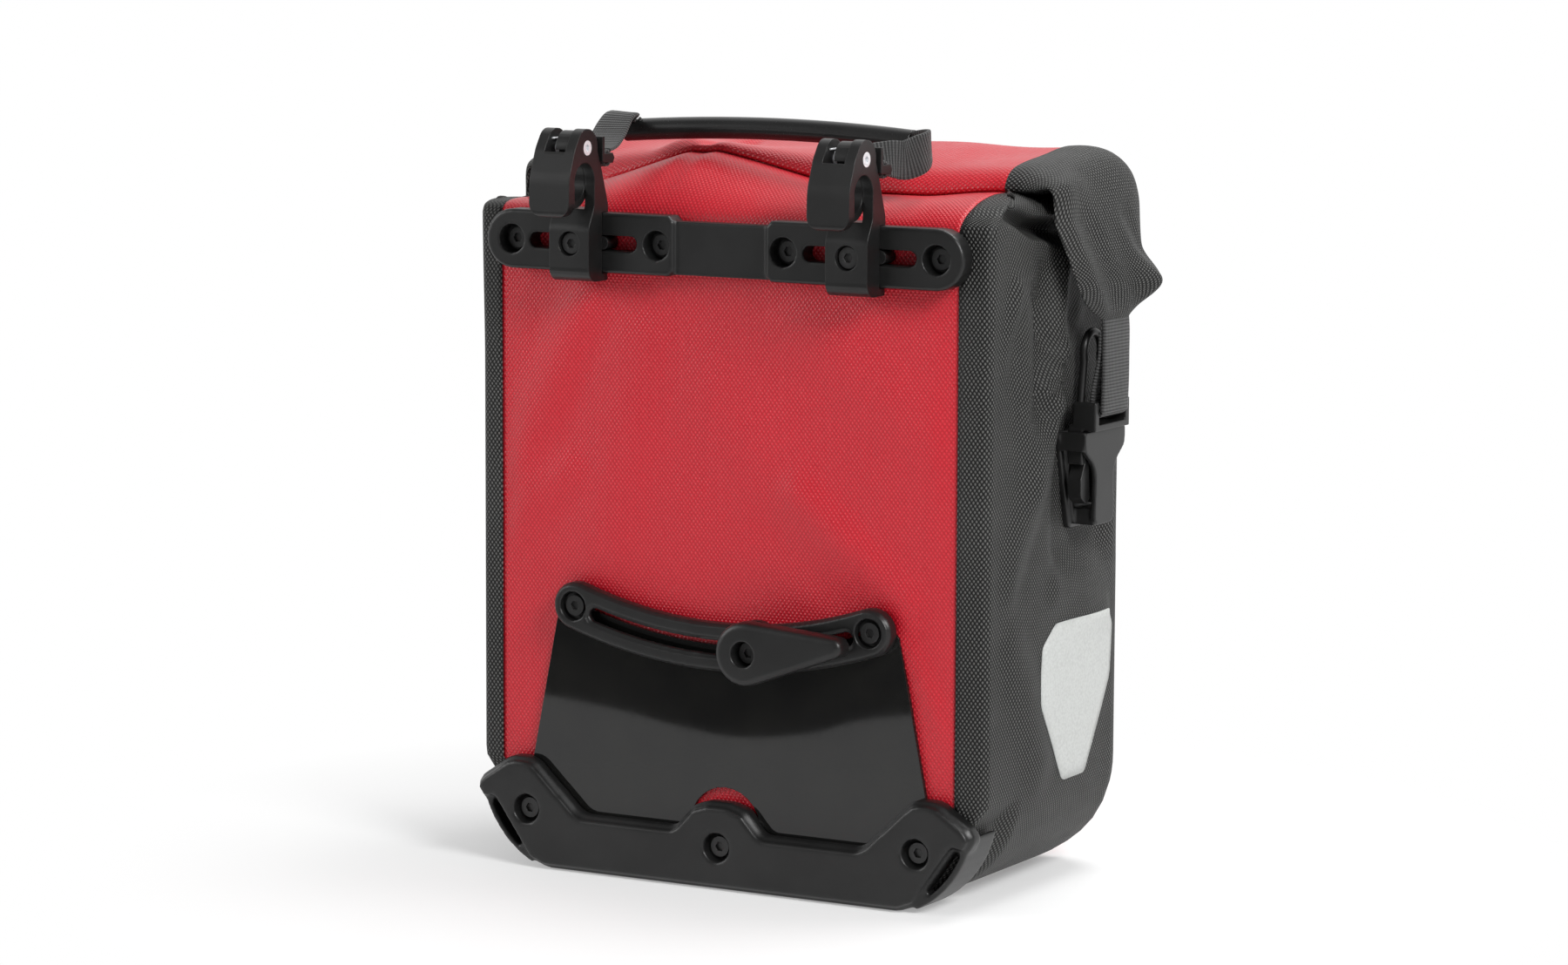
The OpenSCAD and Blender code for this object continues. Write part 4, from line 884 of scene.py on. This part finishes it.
class PANNIER_OT_stage(bpy.types.Operator):
    """Sets up the camera, the lights, the floor and the background"""
    bl_idname = "pannier.stage"
    bl_label = "Stage"

    def execute(self, context):
        props = context.scene.pannier_stage
        self.camera(context, props)
        middle = Vector((0.0, 0.0, 0.17))
        for name, spot, size, share in (("key", (1.8, -0.9, 1.5), 0.9, props.key),
                                        ("top", (0.35, 0.5, 1.7), 0.8, props.top),
                                        ("fill", (-1.6, -1.1, 0.8), 1.0, props.fill)):
            self.lamp(context, name, Vector(spot), middle, size, share)
        self.world(context, props)
        self.floor()
        self.flag()
        context.scene.view_settings.view_transform = "Standard"
        return {"FINISHED"}

    def camera(self, context, props):
        data = bpy.data.cameras.new("camera")
        data.sensor_width = 36.0
        data.lens = props.lens
        cam = bpy.data.objects.new("camera", data)
        context.scene.collection.objects.link(cam)
        az, el, turn = props.azimuth, props.elevation, props.roll
        back = Vector((math.sin(az) * math.cos(el), -math.cos(az) * math.cos(el), math.sin(el)))
        level_right = Vector((math.cos(az), math.sin(az), 0.0))
        level_up = back.cross(level_right)
        right = math.cos(turn) * level_right + math.sin(turn) * level_up
        up = back.cross(right)
        at = Vector(props.target) + back * props.distance
        cam.matrix_world = Matrix(((right.x, up.x, back.x, at.x), (right.y, up.y, back.y, at.y),
                                   (right.z, up.z, back.z, at.z), (0.0, 0.0, 0.0, 1.0)))
        context.scene.camera = cam

    def lamp(self, context, name, spot, middle, size, share):
        data = bpy.data.lights.new(name, "AREA")
        data.shape = "DISK"
        data.size = size
        data.energy = share * math.pi ** 2 * (spot - middle).length_squared
        lamp = bpy.data.objects.new(name, data)
        lamp.location = spot
        lamp.rotation_euler = (middle - spot).to_track_quat("-Z", "Y").to_euler()
        context.scene.collection.objects.link(lamp)

    def world(self, context, props):
        world = bpy.data.worlds.new("surround")
        context.scene.world = world
        world.use_nodes = True
        nodes = world.node_tree.nodes
        net = world.node_tree.links
        soft = nodes["Background"]
        soft.inputs["Color"].default_value = (1.0, 1.0, 1.0, 1.0)
        soft.inputs["Strength"].default_value = props.ambient
        white = nodes.new("ShaderNodeBackground")
        white.inputs["Color"].default_value = (1.0, 1.0, 1.0, 1.0)
        white.inputs["Strength"].default_value = 1.0
        path = nodes.new("ShaderNodeLightPath")
        join = nodes.new("ShaderNodeMixShader")
        seen = maths(nodes, net, "MAXIMUM", path.outputs["Is Camera Ray"],
                     path.outputs["Is Transmission Ray"])
        # Reflections see the white background behind the bag and the dimmer room in front of it
        behind = nodes.new("ShaderNodeVectorMath")
        behind.operation = "DOT_PRODUCT"
        behind.inputs[1].default_value = (-math.sin(props.azimuth), math.cos(props.azimuth), 0.0)
        net.new(nodes.new("ShaderNodeTexCoord").outputs["Generated"], behind.inputs[0])
        backdrop = ramp(nodes, net, behind.outputs["Value"], ((0.1, (0.0, 0.0, 0.0)), (0.5, (1.0, 1.0, 1.0))))
        glossy = maths(nodes, net, "MULTIPLY", path.outputs["Is Glossy Ray"], backdrop)
        net.new(maths(nodes, net, "MAXIMUM", seen, glossy), join.inputs["Fac"])
        net.new(soft.outputs["Background"], join.inputs[1])
        net.new(white.outputs["Background"], join.inputs[2])
        net.new(join.outputs["Shader"], nodes["World Output"].inputs["Surface"])

    def floor(self):
        """Pale floor that keeps the shadow near the bag and turns white further away."""
        rings = ((0.0, 1), (0.35, 48), (0.7, 48), (1.4, 48), (6.0, 48))
        verts, faces = [(0.0, 0.0, 0.0)], []
        for r, n in rings[1:]:
            for k in range(n):
                a = 2.0 * math.pi * k / n
                verts.append((r * 1000 * math.cos(a), r * 1000 * math.sin(a), 0.0))
        for k in range(48):
            faces.append((0, 1 + k, 1 + (k + 1) % 48))
            for j in range(3):
                a = 1 + 48 * j
                faces.append((a + k, a + 48 + k, a + 48 + (k + 1) % 48, a + (k + 1) % 48))
        floor = mesh_object("floor", verts, faces)
        floor.location = (0.0, 0.0, -0.0002)
        mat = bpy.data.materials.new("floor")
        nodes, net, shader = links(mat)
        shader.inputs["Base Color"].default_value = (0.95, 0.95, 0.95, 1.0)
        shader.inputs["Roughness"].default_value = 0.9
        shader.inputs["Specular IOR Level"].default_value = 0.1
        coord = nodes.new("ShaderNodeTexCoord").outputs["Object"]
        span = nodes.new("ShaderNodeVectorMath")
        span.operation = "LENGTH"
        net.new(coord, span.inputs[0])
        fade = ramp(nodes, net, maths(nodes, net, "MULTIPLY", span.outputs["Value"], 0.5),
                    ((0.05, (0.3, 0.3, 0.3)), (0.17, (1.0, 1.0, 1.0))))
        path = nodes.new("ShaderNodeLightPath")
        seen = maths(nodes, net, "MAXIMUM", path.outputs["Is Camera Ray"], path.outputs["Is Glossy Ray"])
        glow = nodes.new("ShaderNodeEmission")
        glow.inputs["Color"].default_value = (1.0, 1.0, 1.0, 1.0)
        glow.inputs["Strength"].default_value = 1.0
        join = nodes.new("ShaderNodeMixShader")
        net.new(maths(nodes, net, "MULTIPLY", fade, seen), join.inputs["Fac"])
        net.new(shader.outputs["BSDF"], join.inputs[1])
        net.new(glow.outputs["Emission"], join.inputs[2])
        net.new(join.outputs["Shader"], nodes["Material Output"].inputs["Surface"])
        floor.data.materials.append(mat)

    def flag(self):
        """Dark card on the floor in front, below the picture, that the glossy plate reflects."""
        edge = through([(-1500, -600), (-640, -500), (-325, -435), (-214, -391), (-172, -380), (-147, -408),
                        (-128, -480), (20, -600), (900, -800)], 6)
        verts = [(x, y, 0.5) for x, y in edge] + [(x, -1700, 0.5) for x, y in edge]
        n = len(edge)
        faces = [(k, k + n, k + n + 1, k + 1) for k in range(n - 1)]
        card = mesh_object("flag", verts, faces)
        mat = bpy.data.materials.new("flag")
        shader = links(mat)[2]
        shader.inputs["Base Color"].default_value = (0.03, 0.03, 0.03, 1.0)
        shader.inputs["Roughness"].default_value = 1.0
        card.data.materials.append(mat)
        # Like a lamp, the card only shows as a reflection
        card.visible_camera = False
        card.visible_diffuse = False
        card.visible_shadow = False


class PANNIER_OT_body(bpy.types.Operator):
    """Builds the middle panel and the two side panels"""
    bl_idname = "pannier.body"
    bl_label = "Bag body"

    def execute(self, context):
        thick = context.scene.pannier_fabric.thickness / MM
        back = back_rows()
        front = front_rows()
        base = base_rows(back, front)
        sheets = joined([grid_data(back), grid_data(front), grid_data(base, flip=True)])
        panel = mesh_object("middle_panel", *sheets)
        add_solidify(panel, thick)
        place(panel, "red_fabric", "bag", "back_panel", "front_panel", "base_panel", "shoulder_panel")
        for name, sign in SIDES:
            gusset = mesh_object(name + "_gusset", *sided(grid_data(side_rows(sign)), sign))
            add_solidify(gusset, thick)
            place(gusset, "black_fabric", "bag", name + "_side_panel")
        return {"FINISHED"}


class PANNIER_OT_roll(bpy.types.Operator):
    """Builds the roll, its two hanging ends, the neck under it and the closure straps"""
    bl_idname = "pannier.roll"
    bl_label = "Roll-top"

    def execute(self, context):
        roll = mesh_object("roll", *capped(roll_rows()))
        place(roll, "red_fabric", "roll_top", "rolled_closure")
        neck = mesh_object("neck", *grid_data(neck_rows(), closed=True))
        add_solidify(neck, 1.2)
        finish(neck, "red_fabric")
        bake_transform(neck)
        for name, sign in SIDES:
            end = mesh_object(name + "_ear", *sided(capped(ear_rows(sign)), sign))
            add_subsurf(end)
            place(end, "black_fabric", "roll_top", name + "_roll_end")
            self.strap(name, sign)
        return {"FINISHED"}

    def strap(self, name, sign):
        bar_x, bar_z, r = 139.3, 209.5, 2.75
        along = (0.0, 1.0, 0.0)
        drop = ((138.6, 266), (141, 255), (142.3, 245), (142.4, 232), (142.4, 222))
        stations = [((x, BUCKLE_Y, z), along, 1.0) for x, z in drop]
        for k in range(9):
            a = math.radians(-10 - 20 * k)
            stations.append(((bar_x + r * math.cos(a), BUCKLE_Y, bar_z + r * math.sin(a)), along, 1.0))
        stations.extend([((137.4, BUCKLE_Y, 218), along, 1.0), ((140.2, BUCKLE_Y, 232), along, 1.0),
                         ((140.6, BUCKLE_Y, 243), along, 1.0)])
        obj = mesh_object(name + "_webbing", *sided(ribbon(stations, 24.6, 1.7, 4), sign))
        finish(obj, "webbing")
        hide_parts(name + "_closure_strap")
        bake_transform(obj)


class PANNIER_OT_handle(bpy.types.Operator):
    """Builds the handle webbing and its two loops"""
    bl_idname = "pannier.handle"
    bl_label = "Handle"

    def execute(self, context):
        x_way = (1.0, 0.0, 0.0)
        left = [((-68, -68.5, 317.4), x_way, 1.0), ((-68.6, -61, 318.8), x_way, 1.0),
                ((-69.2, -53.5, 322.6), x_way, 0.95), ((-69.6, -47.5, 327.6), x_way, 0.9),
                ((-69.4, -43, 331), x_way, 0.85), ((-68.6, -38.6, 331.6), (1.0, 0.1, -0.1), 0.8),
                ((-66.8, -35, 329), (0.8, 0.2, -0.5), 0.6), ((-62, -34, 325.4), (0.1, 0.5, -0.85), 0.32)]
        right = [((68.6, -68.5, 317.4), x_way, 0.86), ((72.5, -66.2, 318.4), (0.75, 0.2, -0.6), 0.84),
                 ((76, -61.5, 318.2), (0.35, 0.15, -0.93), 0.88),
                 ((79.2, -55.5, 317.6), (0.12, 0.05, -1.0), 0.92),
                 ((83, -48.6, 320.3), (0.05, -0.05, -1.0), 0.9), ((83, -42, 323.2), (0.0, 0.1, -1.0), 0.75),
                 ((78.6, -37.4, 325.2), (0.0, 0.2, -1.0), 0.5), ((68, -34.6, 325.2), (0.0, 0.2, -1.0), 0.3)]
        webbing = joined([ribbon(left, 18.0, 1.6), ribbon(right, 18.0, 1.6)])
        obj = mesh_object("handle_strap", *webbing)
        place(obj, "webbing", "handle_grip", "handle_webbing")
        loop_x, loop_y, loop_z, loop_r = 68, -70, 314.34, 3.1
        for name, sign in SIDES:
            stations = []
            for k in range(13):
                a = math.radians(60 - 30 * k)
                point = (sign * loop_x, loop_y + loop_r * math.cos(a), loop_z + loop_r * math.sin(a))
                stations.append((point, x_way, 0.97))
            loop = mesh_object(name + "_loop", *ribbon(stations, 18.0, 1.5, 3))
            place(loop, "webbing", "handle_straps", name + "_handle_loop")
        return {"FINISHED"}


class PANNIER_OT_reflectors(bpy.types.Operator):
    """Lays the reflective film on the side panels"""
    bl_idname = "pannier.reflectors"
    bl_label = "Reflectors"

    def execute(self, context):
        corners = ((2, 48), (24, 48), (49, 88), (51, 111), (44, 118), (-8, 118), (-21, 109), (-24, 84))
        edge = []
        n = len(corners)
        for i, b in enumerate(corners):
            a = corners[i - 1]
            c = corners[(i + 1) % n]
            cut = 2.6
            p = [mix(q, r, cut / math.dist(a, b)) for q, r in zip(b, a)]
            q = [mix(s, r, cut / math.dist(b, c)) for s, r in zip(b, c)]
            for k in range(4):
                t = k / 3
                shares = ((1 - t) ** 2, 2 * t * (1 - t), t * t)
                edge.append(tuple(shares[0] * u + shares[1] * v + shares[2] * w for u, v, w in zip(p, b, q)))
            for k in range(1, 6):
                nxt = [mix(s, r, cut / math.dist(b, c)) for s, r in zip(c, b)]
                edge.append(tuple(mix(s, r, k / 6) for s, r in zip(q, nxt)))
        cy = sum(p[0] for p in edge) / len(edge)
        cz = sum(p[1] for p in edge) / len(edge)
        rings = 8
        verts = [side_point(cy, cz, 1.5)]
        uvs = [(cy * MM, cz * MM)]
        for j in range(1, rings + 1):
            t = j / rings
            lift = 1.5 if j < rings else 1.2
            for y, z in edge:
                verts.append(side_point(mix(cy, y, t), mix(cz, z, t), lift))
                uvs.append((mix(cy, y, t) * MM, mix(cz, z, t) * MM))
        m = len(edge)
        faces = [(0, 1 + k, 1 + (k + 1) % m) for k in range(m)]
        for j in range(rings - 1):
            a = 1 + j * m
            faces.extend((a + k, a + m + k, a + m + (k + 1) % m, a + (k + 1) % m) for k in range(m))
        for name, sign in SIDES:
            film = mesh_object(name + "_film", *sided((verts, faces, uvs), sign))
            add_solidify(film, 0.7)
            place(film, "reflector", "bag", name + "_reflector")
        return {"FINISHED"}


# Moulded pieces with round edges: node, body, size of a mesh cell in metres, rounds of smoothing
SOFT_PIECES = (
    ("bottom_guard", "bag", 0.0009, 14), ("arched_rail", "bag", 0.0006, 8),
    ("top_rail", "bag", 0.0006, 5), ("left_buckle_socket", "bag", 0.0005, 5),
    ("right_buckle_socket", "bag", 0.0005, 5), ("left_buckle_plug", "left_buckle", 0.0004, 4),
    ("right_buckle_plug", "right_buckle", 0.0004, 4), ("anchor_hook", "anchor_hook", 0.0006, 6),
)


def softened(name, voxel, rounds):
    """New piece with the shape of a CAD node and its edges rounded."""
    obj = bpy.data.objects.new(name + "_soft", frame["nodes"][name].data.copy())
    bpy.context.scene.collection.objects.link(obj)
    skin = obj.modifiers.new("skin", "REMESH")
    skin.mode = "VOXEL"
    skin.voxel_size = voxel
    skin.use_smooth_shade = True
    even = obj.modifiers.new("round", "SMOOTH")
    even.factor = 0.5
    even.iterations = rounds
    light = obj.modifiers.new("fewer faces", "DECIMATE")
    light.ratio = 0.4
    return obj


def frame_slots():
    """The slot of each CAD node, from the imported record."""
    out = {}
    for part in frame["record"]["subparts"]:
        out[part["node"]] = part["material_slot"]
    return out


class PANNIER_OT_hardware(bpy.types.Operator):
    """Finishes the CAD pieces and rounds the moulded ones"""
    bl_idname = "pannier.hardware"
    bl_label = "Hardware"

    def execute(self, context):
        slots = frame_slots()
        for name, obj in frame["nodes"].items():
            if name in slots:
                finish(obj, slots[name])
        for name, body, voxel, rounds in SOFT_PIECES:
            place(softened(name, voxel, rounds), slots[name], body, name)
        return {"FINISHED"}


class PANNIER_PT_panel(bpy.types.Panel):
    """Settings and steps of the pannier bag"""
    bl_idname = "PANNIER_PT_panel"
    bl_label = "Pannier bag"
    bl_space_type = "VIEW_3D"
    bl_region_type = "UI"
    bl_category = "Pannier"

    def draw(self, context):
        layout = self.layout
        for group in ("pannier_fabric", "pannier_roll", "pannier_hardware", "pannier_stage"):
            props = getattr(context.scene, group)
            box = layout.box()
            for key in props.bl_rna.properties.keys():
                if key not in ("rna_type", "name"):
                    box.prop(props, key)
        for step in STEPS:
            layout.operator(step.bl_idname)


GROUPS = (
    ("pannier_fabric", PannierFabric), ("pannier_roll", PannierRoll),
    ("pannier_hardware", PannierHardware), ("pannier_stage", PannierStage),
)
STEPS = (PANNIER_OT_stage, PANNIER_OT_body, PANNIER_OT_roll, PANNIER_OT_handle, PANNIER_OT_reflectors,
         PANNIER_OT_hardware)


def register():
    for key, group in GROUPS:
        bpy.utils.register_class(group)
        setattr(bpy.types.Scene, key, bpy.props.PointerProperty(type=group))
    for step in STEPS:
        bpy.utils.register_class(step)
    bpy.utils.register_class(PANNIER_PT_panel)


def unregister():
    bpy.utils.unregister_class(PANNIER_PT_panel)
    for step in reversed(STEPS):
        bpy.utils.unregister_class(step)
    for key, group in reversed(GROUPS):
        delattr(bpy.types.Scene, key)
        bpy.utils.unregister_class(group)


def plain(corners):
    return [[round(v, 6) for v in corner] for corner in corners]


def main():
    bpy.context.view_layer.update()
    register()
    bpy.ops.pannier.stage()
    bpy.ops.pannier.body()
    bpy.ops.pannier.roll()
    bpy.ops.pannier.handle()
    bpy.ops.pannier.reflectors()
    bpy.ops.pannier.hardware()
    bpy.context.view_layer.update()


if __name__ == "__main__":
    main()
